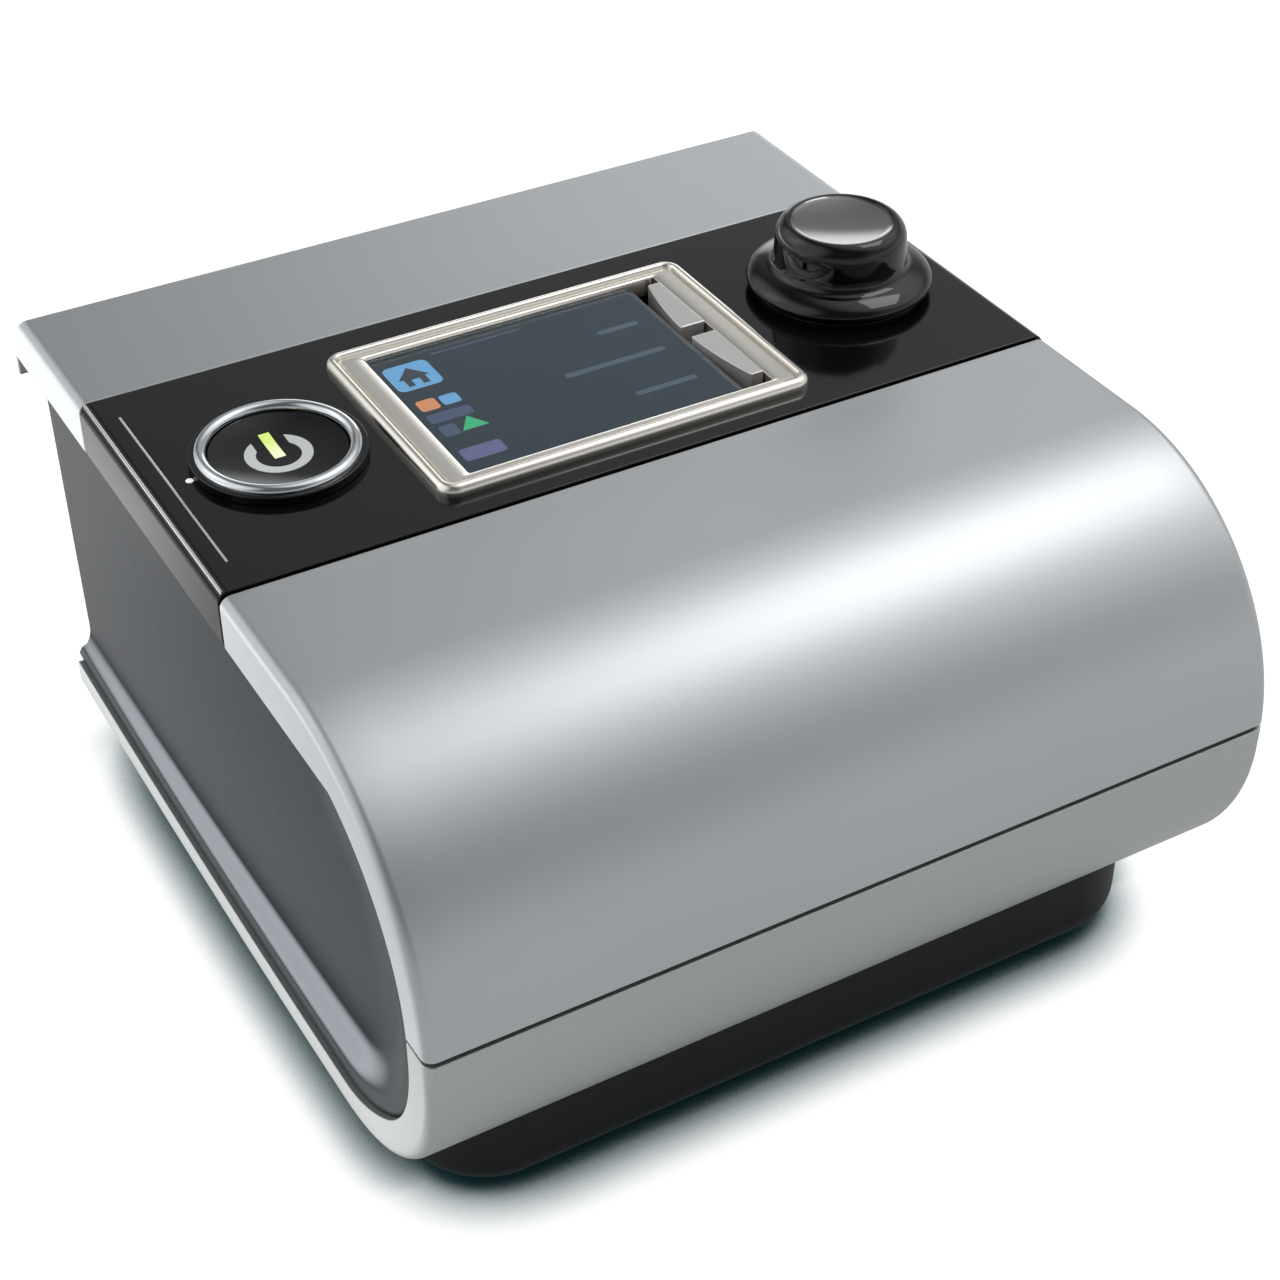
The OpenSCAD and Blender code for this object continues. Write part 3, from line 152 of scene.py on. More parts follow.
def makeWearHighlightGroup():
    # edge wear and painted edge highlight: convex edges by pointiness, broken up by noise, mixed to a
    # lighter colour
    g, gi, go = newGroup("edgeWearHighlight", [
        ("Start", "NodeSocketFloat", 0.53), ("Width", "NodeSocketFloat", 0.06),
        ("Break", "NodeSocketFloat", 160.0)],
        [("Mask", "NodeSocketFloat")])
    geo = g.nodes.new("ShaderNodeNewGeometry")
    coord = g.nodes.new("ShaderNodeTexCoord").outputs["Object"]
    patch = noiseNode(g, coord, gi.outputs["Break"], 3.0, 0.6)
    rise = mathNode(g, "SUBTRACT", geo.outputs["Pointiness"], gi.outputs["Start"])
    ratio = mathNode(g, "DIVIDE", rise, gi.outputs["Width"], True)
    g.links.new(mathNode(g, "MULTIPLY", ratio, patch, True), go.inputs["Mask"])
    return g


def makeSmudgeGroup():
    # faint finger marks and hairlines for gloss and glass
    g, gi, go = newGroup("smudge", [
        ("Low", "NodeSocketFloat", 0.05), ("High", "NodeSocketFloat", 0.14)],
        [("Roughness", "NodeSocketFloat"), ("Hairline", "NodeSocketFloat")])
    coord = g.nodes.new("ShaderNodeTexCoord").outputs["Object"]
    wide = noiseNode(g, coord, 45.0, 5.0, 0.6)
    wave = g.nodes.new("ShaderNodeTexWave")
    wave.inputs["Scale"].default_value = 40.0
    wave.inputs["Distortion"].default_value = 18.0
    wave.inputs["Detail"].default_value = 3.0
    g.links.new(coord, wave.inputs["Vector"])
    span = mathNode(g, "SUBTRACT", gi.outputs["High"], gi.outputs["Low"])
    soft = mathNode(g, "MULTIPLY", mathNode(g, "SUBTRACT", wide, 0.3, True), 2.0, True)
    rough = mathNode(g, "ADD", gi.outputs["Low"], mathNode(g, "MULTIPLY", soft, span))
    g.links.new(rough, go.inputs["Roughness"])
    g.links.new(wave.outputs["Fac"], go.inputs["Hairline"])
    return g


grainGroup, wearHighlightGroup, smudgeGroup = makeGrainGroup(), makeWearHighlightGroup(), makeSmudgeGroup()


def linear(rgb):
    # 0..255 screen values to linear light
    c = np.array(rgb, float) / 255
    return tuple(np.where(c <= 0.04045, c / 12.92, ((c + 0.055) / 1.055) ** 2.4)) + (1.0,)


finishes = {}
finishSet = {"cloud": 28.0, "bump": 0.5, "coatRough": 0.08, "ior": 1.45}


def finish(name, rgb, rough=0.5, metal=0.0, grain=900.0, depth=0.04, tone=0.06, speck=0.06, wearHighlight=0.0,
           wearHighlightRgb=(200, 202, 205), coat=0.0, gloss=False, sheen=0.0, specular=0.5, glow=None,
           glowStrength=0.0, transmission=0.0, aniso=0.0):
    # one Principled surface: toned base colour, broken roughness, grain or hairline bump, optional
    # edge wear with a painted edge highlight; rgb and glow are 0..255 screen values and depth is in
    # millimetres
    m = bpy.data.materials.new(name)
    m.use_nodes = True
    t = m.node_tree
    p = t.nodes["Principled BSDF"]
    base = linear(rgb)
    g = t.nodes.new("ShaderNodeGroup")
    g.node_tree = grainGroup
    g.inputs["Scale"].default_value = grain
    g.inputs["Cloud"].default_value = finishSet["cloud"]
    colour = mixColour(t, g.outputs["Tone"], tuple(c * (1 - tone) for c in base[:3]) + (1,),
                       tuple(min(1, c * (1 + tone)) for c in base[:3]) + (1,))
    # edge wear and painted edge highlight: convex edges take a lighter colour
    if wearHighlight > 0:
        w = t.nodes.new("ShaderNodeGroup")
        w.node_tree = wearHighlightGroup
        colour = mixColour(t, mathNode(t, "MULTIPLY", w.outputs["Mask"], wearHighlight), colour, linear(wearHighlightRgb))
    t.links.new(colour, p.inputs["Base Color"])
    bump = t.nodes.new("ShaderNodeBump")
    if gloss:
        s = t.nodes.new("ShaderNodeGroup")
        s.node_tree = smudgeGroup
        s.inputs["Low"].default_value = rough
        s.inputs["High"].default_value = rough + speck
        t.links.new(s.outputs["Roughness"], p.inputs["Roughness"])
        t.links.new(s.outputs["Hairline"], bump.inputs["Height"])
    else:
        r = mathNode(t, "ADD", rough - speck / 2, mathNode(t, "MULTIPLY", g.outputs["Speck"], speck), True)
        t.links.new(r, p.inputs["Roughness"])
        t.links.new(g.outputs["Height"], bump.inputs["Height"])
    bump.inputs["Strength"].default_value = finishSet["bump"] if depth else 0.0
    bump.inputs["Distance"].default_value = depth * 0.001
    t.links.new(bump.outputs["Normal"], p.inputs["Normal"])
    p.inputs["Metallic"].default_value = metal
    p.inputs["Coat Weight"].default_value = coat
    p.inputs["Coat Roughness"].default_value = finishSet["coatRough"]
    p.inputs["Specular IOR Level"].default_value = specular
    p.inputs["IOR"].default_value = finishSet["ior"]
    p.inputs["Transmission Weight"].default_value = transmission
    p.inputs["Anisotropic"].default_value = aniso
    p.inputs["Sheen Weight"].default_value = sheen
    if glow:
        p.inputs["Emission Color"].default_value = linear(glow)
        p.inputs["Emission Strength"].default_value = glowStrength
    finishes[name] = m
    return m


for name, rgb, rough in (("satinSilver", (190, 192, 194), 0.4), ("satinSilverLow", (184, 188, 186), 0.42)):
    finish(name, rgb, rough=rough, metal=0.85, grain=2600.0, depth=0.006, tone=0.02, speck=0.05,
           wearHighlight=0.2, wearHighlightRgb=(225, 226, 228))
finish("charcoalPlastic", (44, 47, 50), rough=0.5, grain=1500.0, depth=0.03, tone=0.08, speck=0.12,
       wearHighlight=0.4,
       wearHighlightRgb=(92, 95, 98))
finish("baseBlack", (8, 9, 11), rough=0.5, grain=1300.0, depth=0.02, tone=0.1, speck=0.14, wearHighlight=0.3,
       wearHighlightRgb=(50, 53, 56), specular=0.25)
finish("rubberGrey", (34, 34, 36), rough=0.8, grain=900.0, depth=0.05, tone=0.12, speck=0.12, sheen=0.1)
finish("champagne", (236, 231, 222), rough=0.24, metal=1.0, grain=2200.0, depth=0.004, tone=0.04,
       speck=0.05)
finish("fineSilver", (205, 206, 210), rough=0.3, metal=0.8, grain=2200.0, depth=0.003, tone=0.05,
       speck=0.05)
finish("keyPearl", (216, 212, 210), rough=0.2, metal=0.6, grain=2600.0, depth=0.004, tone=0.08,
       speck=0.05, coat=0.5)
finish("chromeTrim", (215, 218, 222), rough=0.09, metal=1.0, gloss=True, depth=0.0008, tone=0.02,
       speck=0.05)
finish("windowGlass", (232, 240, 242), rough=0.0, gloss=True, depth=0.0, tone=0.0, speck=0.0,
       transmission=1.0, specular=0.06)
finish("screenDark", (2, 5, 8), rough=0.5, depth=0.0, tone=0.2, speck=0.1, specular=0.03,
       glow=(12, 38, 52), glowStrength=1.0)
for name, rgb, tone, glow, strength in (
        ("iconSky", (40, 80, 110), 0.25, (110, 175, 225), 0.9),
        ("iconAmber", (90, 50, 30), 0.25, (235, 150, 95), 0.9),
        ("iconSlate", (20, 28, 45), 0.25, (58, 74, 108), 0.9),
        ("iconMauve", (35, 35, 60), 0.25, (98, 96, 140), 0.9),
        ("iconLeaf", (10, 60, 40), 0.25, (40, 190, 125), 0.9),
        ("iconInk", (8, 14, 24), 0.25, (20, 34, 52), 0.8),
        ("barFaint", (20, 32, 40), 0.2, (52, 76, 92), 1.0)):
    finish(name, rgb, rough=0.4, depth=0.002, tone=tone, glow=glow, glowStrength=strength)
finish("iconWhite", (200, 205, 208), rough=0.2, depth=0.001, tone=0.03, glow=(240, 244, 246),
       glowStrength=0.7)
finish("steelPlate", (172, 175, 178), rough=0.3, metal=1.0, grain=1800.0, depth=0.01, tone=0.08,
       speck=0.14, aniso=0.3)
finish("whitePlastic", (222, 221, 214), rough=0.42, grain=1200.0, depth=0.02, tone=0.04, speck=0.1)
finish("encoderPlastic", (58, 62, 60), rough=0.45, grain=1300.0, depth=0.03, tone=0.08, speck=0.12)
finish("paleNozzle", (196, 200, 202), rough=0.28, grain=1500.0, depth=0.01, tone=0.03, speck=0.08)
finish("filterFelt", (226, 226, 220), rough=0.95, grain=1600.0, depth=0.35, tone=0.14, speck=0.1, sheen=0.4)
finish("clipGrey", (140, 144, 147), rough=0.4, grain=1500.0, depth=0.02, tone=0.06, speck=0.1)
finish("cardBlue", (24, 42, 92), rough=0.36, grain=1600.0, depth=0.02, tone=0.06, speck=0.1)
finish("boardGreen", (14, 74, 38), rough=0.3, grain=700.0, depth=0.02, tone=0.18, speck=0.12, coat=0.4)
finish("chipBlack", (22, 22, 24), rough=0.5, grain=1800.0, depth=0.02, tone=0.1, speck=0.12)
finish("cableWhite", (222, 221, 212), rough=0.4, grain=600.0, depth=0.02, tone=0.06, speck=0.1)
finish("voluteGrey", (92, 95, 99), rough=0.46, grain=1100.0, depth=0.04, tone=0.1, speck=0.12)
finish("magnetIron", (58, 58, 62), rough=0.42, metal=0.8, grain=1500.0, depth=0.03, tone=0.1, speck=0.16)
finish("copperWire", (188, 108, 58), rough=0.32, metal=0.9, grain=2400.0, depth=0.09, tone=0.18, speck=0.1)
finish("motorAluminium", (160, 163, 168), rough=0.36, metal=1.0, grain=1400.0, depth=0.02,
       tone=0.08, speck=0.14)
finish("siliconeGrey", (158, 163, 167), rough=0.55, grain=800.0, depth=0.02, tone=0.06, speck=0.08,
       sheen=0.15)
finish("foamGrey", (54, 54, 57), rough=0.95, grain=1100.0, depth=0.5, tone=0.25, speck=0.08, sheen=0.3)


def powerLight(name, s):
    # the symbol's ring is milky white; its bar is lit yellow-green and pales towards the lower end
    m = finish(name, s["ring"], rough=0.35, depth=0.004, tone=0.04)
    t = m.node_tree
    p = t.nodes["Principled BSDF"]
    at = splitXYZ(t, "ShaderNodeTexCoord", "Object")
    dx = mathNode(t, "ABSOLUTE", mathNode(t, "SUBTRACT", at["X"], s["x"]))
    dy = mathNode(t, "SUBTRACT", at["Y"], s["y"])
    bar = mathNode(t, "MULTIPLY", mathNode(t, "LESS_THAN", dx, s["half"]),
                   mathNode(t, "GREATER_THAN", dy, s["from"]))
    ramp = t.nodes.new("ShaderNodeValToRGB")
    ramp.color_ramp.elements[0].color = linear(s["pale"])
    ramp.color_ramp.elements[1].color = linear(s["lit"])
    t.links.new(mathNode(t, "DIVIDE", dy, s["length"], True), ramp.inputs["Fac"])
    glow = mixColour(t, bar, linear(s["dim"]), ramp.outputs["Color"])
    t.links.new(glow, p.inputs["Emission Color"])
    p.inputs["Emission Strength"].default_value = s["strength"]


def slatePaintedTopLight(name, s):
    # satin slate with a painted highlight: faces that point upwards are mixed towards a pale colour, as if
    # lit from above
    m = finish(name, s["rgb"], rough=0.42, grain=1500.0, depth=0.01, tone=0.05, speck=0.1, specular=0.08)
    t = m.node_tree
    p = t.nodes["Principled BSDF"]
    was = p.inputs["Base Color"].links[0].from_socket
    # painted highlight: the pale colour is mixed in by how far the face's normal points up
    rise = t.nodes.new("ShaderNodeMapRange")
    rise.interpolation_type = "SMOOTHSTEP"
    t.links.new(splitXYZ(t, "ShaderNodeNewGeometry", "Normal")["Z"], rise.inputs["Value"])
    rise.inputs["From Min"].default_value, rise.inputs["From Max"].default_value = s["rise"]
    t.links.new(mixColour(t, rise.outputs["Result"], was, linear(s["topHighlight"])), p.inputs["Base Color"])


def dialFinish(name, s):
    # black gloss with a harder clear coat inside the bowl of the grip
    m = finish(name, (4, 4, 5), rough=0.05, gloss=True, speck=0.04, depth=0.0008, tone=0.1, specular=0.6)
    t = m.node_tree
    p = t.nodes["Principled BSDF"]
    at = splitXYZ(t, "ShaderNodeTexCoord", "Object")
    dx = mathNode(t, "SUBTRACT", at["X"], s["x"])
    dy = mathNode(t, "SUBTRACT", at["Y"], s["y"])
    square = mathNode(t, "ADD", mathNode(t, "MULTIPLY", dx, dx), mathNode(t, "MULTIPLY", dy, dy))
    bowl = mathNode(t, "MULTIPLY", mathNode(t, "LESS_THAN", square, s["reach"] ** 2),
                    mathNode(t, "GREATER_THAN", at["Z"], s["above"]))
    t.links.new(bowl, p.inputs["Coat Weight"])
    p.inputs["Coat IOR"].default_value = s["ior"]
    p.inputs["Coat Roughness"].default_value = s["coatRough"]


def bandFinish(name, s):
    # piano black on top, a quieter satin on the band's end faces
    m = finish(name, (12, 13, 14), rough=0.07, gloss=True, speck=0.05, depth=0.0015, tone=0.15, specular=0.5)
    t = m.node_tree
    p = t.nodes["Principled BSDF"]
    lean = mathNode(t, "ABSOLUTE", splitXYZ(t, "ShaderNodeNewGeometry", "Normal")["X"])
    end = mathNode(t, "GREATER_THAN", lean, s["lean"])
    level = mathNode(t, "SUBTRACT", s["level"], mathNode(t, "MULTIPLY", end, s["drop"]))
    t.links.new(level, p.inputs["Specular IOR Level"])


dialFinish("smokedGloss", {"x": 0.0505, "y": 0.0139, "reach": 0.0082, "above": 0.0945, "ior": 2.3,
                           "coatRough": 0.12})
bandFinish("pianoBlack", {"lean": 0.8, "level": 0.5, "drop": 0.44})
# the slate panel's pale second colour is the painted highlight on its upward faces
slatePaintedTopLight("slatePanel", {"rgb": (36, 43, 50), "topHighlight": (208, 212, 219), "rise": (0.25, 0.7)})
powerLight("powerLight", {"ring": (150, 152, 150), "dim": (150, 153, 150), "pale": (235, 245, 190),
                          "lit": (196, 222, 20), "x": -0.049, "y": 0.0123, "half": 0.0011,
                          "from": -0.001, "length": 0.004, "strength": 0.9})
print("materials ready:", len(finishes))

slotFinish = {
    "satin_silver": "satinSilver", "satin_silver_low": "satinSilverLow", "gloss_black": "pianoBlack",
    "slate_plastic": "slatePanel", "dark_plastic": "charcoalPlastic", "base_black": "baseBlack",
    "rubber_grey": "rubberGrey", "champagne_metal": "champagne", "window_glass": "windowGlass",
    "sheet_metal": "steelPlate", "key_silver": "keyPearl", "chrome_trim": "chromeTrim",
    "light_pipe": "powerLight",
    "steel": "steelPlate", "white_plastic": "whitePlastic", "encoder_plastic": "encoderPlastic",
    "clear_grey_plastic": "paleNozzle", "filter_felt": "filterFelt", "grey_plastic": "clipGrey",
    "card_blue": "cardBlue", "board_green": "boardGreen", "chip_black": "chipBlack",
    "cable_white": "cableWhite",
    "volute_plastic": "voluteGrey", "magnet_iron": "magnetIron", "copper_wire": "copperWire",
    "motor_aluminium": "motorAluminium", "silicone": "siliconeGrey", "foam_grey": "foamGrey"}
slotOf = {s["node"]: s["material_slot"] for s in frame["record"]["subparts"]}
bodyOf = {n: b for b, members in frame["record"]["behaviour"]["bodies"].items() for n in members}

for name, obj in nodes.items():
    obj.data.materials.clear()
    obj.data.materials.append(finishes[slotFinish[slotOf[name]]])
print("CAD nodes dressed:", len(nodes))

# mesh helpers; shapes are worked out in drawn millimetres, with the case's front at y = 0

halfDepth = 76.5
mergeSet = {"weld": 2e-7, "copyWeld": 1e-6, "flat": 0.4, "bevelSteps": 3}


def gridQuads(rows, cols, wrapRows=False, wrapCols=False):
    # quads between neighbouring points of a rows x cols grid
    r, c = np.meshgrid(np.arange(rows if wrapRows else rows - 1),
                       np.arange(cols if wrapCols else cols - 1), indexing="ij")
    r2, c2 = (r + 1) % rows, (c + 1) % cols
    return np.stack([r * cols + c, r * cols + c2, r2 * cols + c2, r2 * cols + c], -1).reshape(-1, 4)


def smoothFaces(mesh, angle):
    # smooth shading that breaks at edges sharper than the angle
    mesh.polygons.foreach_set("use_smooth", np.ones(len(mesh.polygons), bool))
    mesh.set_sharp_from_angle(angle=math.radians(angle))


def softEdge(obj, width, angle, segments):
    # rounds the edges sharper than the angle; the width is in millimetres
    mod = obj.modifiers.new("softEdge", "BEVEL")
    mod.width = width * 0.001
    mod.segments = segments
    mod.limit_method = "ANGLE"
    mod.angle_limit = math.radians(angle)
    mod.harden_normals = True


def addPiece(name, points, quads, material, body, replaced=(), loops=(), sharp=40, bevel=0.0):
    # points (n, 3) in millimetres, quads (m, 4); loops are lists of point numbers, each closed with
    # one flat face
    p = np.asarray(points, float).reshape(-1, 3).copy()
    p[:, 1] -= halfDepth
    p *= 0.001
    quads = np.asarray(quads, int)
    counts = [4] * len(quads) + [len(l) for l in loops]
    corners = np.concatenate([quads.reshape(-1)] + [np.asarray(l, int) for l in loops])
    mesh = bpy.data.meshes.new(name)
    mesh.vertices.add(len(p))
    mesh.vertices.foreach_set("co", p.astype(np.float32).reshape(-1))
    mesh.loops.add(len(corners))
    mesh.loops.foreach_set("vertex_index", corners.astype(np.int32))
    mesh.polygons.add(len(counts))
    mesh.polygons.foreach_set("loop_start", np.concatenate([[0], np.cumsum(counts)[:-1]]).astype(np.int32))
    mesh.update(calc_edges=True)
    mesh.validate()
    b = bmesh.new()
    b.from_mesh(mesh)
    bmesh.ops.remove_doubles(b, verts=b.verts, dist=mergeSet["weld"])
    bmesh.ops.dissolve_degenerate(b, edges=b.edges, dist=mergeSet["weld"])
    bmesh.ops.recalc_face_normals(b, faces=b.faces)
    b.to_mesh(mesh)
    b.free()
    smoothFaces(mesh, sharp)
    obj = bpy.data.objects.new(name, mesh)
    scene.collection.objects.link(obj)
    mesh.materials.append(finishes[material])
    if bevel:
        softEdge(obj, bevel, sharp, mergeSet["bevelSteps"])
    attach(obj, body)
    if replaced:
        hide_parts(*replaced)


def lathe(profile, centre, turns):
    # profile (n, 2) of radius and height, turned about a vertical line through centre
    prof = np.asarray(profile, float)
    ang = np.linspace(0, 2 * math.pi, turns, endpoint=False)
    x = centre[0] + prof[:, 0][:, None] * np.cos(ang)[None]
    y = centre[1] + prof[:, 0][:, None] * np.sin(ang)[None]
    z = np.repeat(prof[:, 1][:, None], turns, 1)
    return np.stack([x, y, z], -1).reshape(-1, 3), gridQuads(len(prof), turns, wrapCols=True)


def ringLoop(box, radius, z, arc=10):
    # rounded rectangle at one height: quarter arcs about four inset corners, always 4 * arc points
    x0, x1, y0, y1 = box
    a = np.linspace(0, math.pi / 2, arc)
    t = np.concatenate([a, a + math.pi / 2, a + math.pi, a + 1.5 * math.pi])
    cx = np.repeat([x1 - radius, x0 + radius, x0 + radius, x1 - radius], arc)
    cy = np.repeat([y1 - radius, y1 - radius, y0 + radius, y0 + radius], arc)
    return np.stack([cx + radius * np.cos(t), cy + radius * np.sin(t), np.full(4 * arc, float(z))], -1)


def ringStack(rings, closed=False):
    # rings of equal count joined in order; open stacks get a flat face at each end
    pts = np.concatenate(rings)
    n, count = len(rings), len(rings[0])
    quads = gridQuads(n, count, wrapRows=closed, wrapCols=True)
    loops = [] if closed else [list(range(count)), list(range((n - 1) * count, n * count))]
    return pts, quads, loops


def flatShape(outline, z0, z1):
    # an outline of (x, y) points raised between two heights
    o = np.asarray(outline, float)
    low, high = (np.column_stack([o, np.full(len(o), z)]) for z in (z0, z1))
    return ringStack([low, high])


def softened(node, width, angle=32, segments=2):
    # a merged copy of a CAD node with its flat faces joined and its sharp edges rounded
    mesh = bpy.data.meshes.new(node + "Soft")
    b = bmesh.new()
    b.from_mesh(nodes[node].data)
    bmesh.ops.remove_doubles(b, verts=b.verts, dist=mergeSet["copyWeld"])
    bmesh.ops.dissolve_limit(b, angle_limit=math.radians(mergeSet["flat"]), verts=b.verts, edges=b.edges)
    b.to_mesh(mesh)
    b.free()
    mesh.materials.clear()
    mesh.materials.append(finishes[slotFinish[slotOf[node]]])
    smoothFaces(mesh, angle)
    obj = bpy.data.objects.new(node + "Soft", mesh)
    scene.collection.objects.link(obj)
    softEdge(obj, width, angle, segments)
    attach(obj, bodyOf[node])
    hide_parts(node)


# case shells: a U-shaped section carried along the side view's outline

caseSet = {"halfWidth": 70.0, "edge": 1.8, "wall": 2.2, "inner": 0.3, "crownR": 37.6, "crownZ": 46.4,
           "chinR": 33.0, "chinZ": 43.2467, "bellyR": 1200.0, "bellyY": 95.0, "bellyZ": 1208.6,
           "seam": 47.6, "seamGap": 0.8, "bandFront": 60.8, "gap": 0.25, "rimTop": 8.6, "rimFront": 6.2,
           "rimLow": 5.4, "rimFrom": 55, "rimSpan": 32, "lowBack": 146.4, "top": 84.0, "sharp": 38,
           "bevel": 0.22, "crownSteps": 90, "chinSteps": 70, "bellySteps": 40}


def crownPath(s, n):
    # top flat, then the crown arc down to the seam: y, z, inward normal, depth of the rim
    end = math.acos((s["seam"] + s["seamGap"] / 2 - s["crownZ"]) / s["crownR"])
    a = np.concatenate([np.zeros(6), np.linspace(0, end, n)[1:]])
    y = s["crownR"] - s["crownR"] * np.sin(a)
    y[:6] = np.linspace(s["bandFront"] - s["gap"], s["crownR"], 6)
    z = s["crownZ"] + s["crownR"] * np.cos(a)
    # the opening's radius: the front rim's, or less where the level top rim cuts across it
    level = (s["top"] - s["rimTop"] - s["crownZ"]) / np.maximum(np.cos(a), 1e-3)
    return y, z, np.sin(a), -np.cos(a), s["crownR"] - np.minimum(s["crownR"] - s["rimFront"], level)


def chinPath(s, n):
    # short upright below the seam, the chin arc, then the long belly arc
    up = np.linspace(s["seam"] - s["seamGap"] / 2, s["chinZ"], 4)[:-1]
    turn = math.acos((s["bellyY"] - s["chinR"]) / (s["bellyR"] - s["chinR"]))
    b = np.linspace(0, turn, n)
    back = math.asin((s["lowBack"] - s["bellyY"]) / s["bellyR"])
    c = np.linspace(turn - math.pi / 2, back, s["bellySteps"])[1:]
    y = np.concatenate([0 * up, s["chinR"] - s["chinR"] * np.cos(b),
                        s["bellyY"] + s["bellyR"] * np.sin(c)])
    z = np.concatenate([up, s["chinZ"] - s["chinR"] * np.sin(b),
                        s["bellyZ"] - s["bellyR"] * np.cos(c)])
    ny = np.concatenate([0 * up + 1, np.cos(b), -np.sin(c)])
    nz = np.concatenate([0 * up, np.sin(b), np.cos(c)])
    # the rim goes from its front to its lower depth by a smooth step over part of the chin's turn
    f = np.clip((np.degrees(b) - s["rimFrom"]) / s["rimSpan"], 0, 1)
    blend = s["rimFront"] + (s["rimLow"] - s["rimFront"]) * f * f * (3 - 2 * f)
    rim = np.concatenate([0 * up + s["rimFront"], blend, 0 * c + s["rimLow"]])
    return y, z, ny, nz, rim


def closeShell(cols, outer, rows):
    # each end face is a U-shaped ring cut at its middle, given as two loops
    faces = []
    half, halfInner = outer // 2, (cols - outer) // 2
    for row in (0, rows - 1):
        b = row * cols
        faces.append(list(range(b, b + half + 1)) + list(range(b + outer + halfInner, b + cols)))
        faces.append(list(range(b + half, b + outer + halfInner + 1)))
    return faces


def shellPiece(s, path):
    # section in (x, depth): outer fillets, then the inner face; the legs, marked nan, reach down to
    # each station's rim depth
    y, z, ny, nz, rim = path
    h, e, w, r = s["halfWidth"], s["edge"], s["wall"], s["inner"]
    t = np.linspace(0, math.pi / 2, 12)
    left = np.stack([-(h - e) - e * np.cos(t), e - e * np.sin(t)], -1)
    mid = np.stack([np.linspace(-(h - e), h - e, 26)[1:-1], np.zeros(24)], -1)
    innerRight = np.stack([h - w - r + r * np.cos(t), w + r - r * np.sin(t)], -1)
    outer = np.concatenate([[[-h, np.nan]], left, mid, left[::-1] * [-1, 1], [[h, np.nan]]])
    inner = np.concatenate([[[h - w, np.nan]], innerRight, innerRight[::-1] * [-1, 1], [[w - h, np.nan]]])
    loop = np.concatenate([outer, inner])
    depth = np.where(np.isnan(loop[:, 1])[None], rim[:, None], np.nan_to_num(loop[:, 1])[None])
    x = np.repeat(loop[:, 0][None], len(y), 0)
    pts = np.stack([x, y[:, None] + ny[:, None] * depth, z[:, None] + nz[:, None] * depth], -1)
    quads = gridQuads(len(y), len(loop), wrapCols=True)
    return pts.reshape(-1, 3), quads, closeShell(len(loop), len(outer), len(y))


def addShell(name, path, material, node):
    pts, quads, loops = shellPiece(caseSet, path)
    addPiece(name, pts, quads, material, "housing", (node,), loops, sharp=caseSet["sharp"],
             bevel=caseSet["bevel"])


addShell("frontShell", crownPath(caseSet, caseSet["crownSteps"]), "satinSilver", "front_cover")
addShell("lowerShell", chinPath(caseSet, caseSet["chinSteps"]), "satinSilverLow", "lower_case")

seamSet = {"halfWidth": 69.1, "y": (0.9, 2.1), "z": (47.15, 48.05), "corner": 0.5}


def addSeam(s):
    # a dark shadow strip set back in the split line
    rings = [ringLoop((-s["halfWidth"], s["halfWidth"]) + s["y"], s["corner"], z, 4) for z in s["z"]]
    pts, quads, loops = ringStack(rings)
    addPiece("seamStrip", pts, quads, "chipBlack", "housing", (), loops)


addSeam(seamSet)
print("case shells ready")

# left side panel: a ledge along the front and underside, then a dish that deepens towards the top

panelSet = {"out": 69.2, "thick": 6.1, "gap": 0.3, "ledge": 3.0, "fall": 3.2, "wide": 21.0, "low": 3.4,
            "high": 5.2, "fade": 0.5, "rear": [(147.6, 15.6), (143.9, 20.0), (149.0, 70.7),
                                               (150.3, 71.5), (150.3, 75.1)],
            "bowlZ": (16, 34), "deepZ": (14, 61), "fadeY": (16, 130), "edge": (0.35, 0.5), "band": 12,
            "stations": 260, "nearSteps": 34, "farSteps": 30, "linePoints": 900, "chunks": 24,
            "lineSteps": (120, 160), "sharp": 50}


def resample(points, n):
    # n points evenly spaced along a polyline
    p = np.asarray(points, float)
    d = np.concatenate([[0], np.cumsum(np.linalg.norm(np.diff(p, axis=0), axis=1))])
    t = np.linspace(0, d[-1], n)
    return np.stack([np.interp(t, d, p[:, 0]), np.interp(t, d, p[:, 1])], -1)


def ledgeLine(s):
    # the opening's edge from the rear foot, under the belly, round the front and up to the top rim
    y, z, ny, nz, rim = chinPath(caseSet, s["lineSteps"][0])
    low = np.stack([y + ny * (rim + s["gap"]), z + nz * (rim + s["gap"])], -1)[::-1]
    y, z, ny, nz, rim = crownPath(caseSet, s["lineSteps"][1])
    high = np.stack([y + ny * (rim + s["gap"]), z + nz * (rim + s["gap"])], -1)[::-1]
    high = high[high[:, 1] < caseSet["top"] - caseSet["rimTop"] - s["gap"] - 0.01]
    return np.concatenate([[s["rear"][0]], low[low[:, 0] < s["rear"][0][0] - 0.4], high])


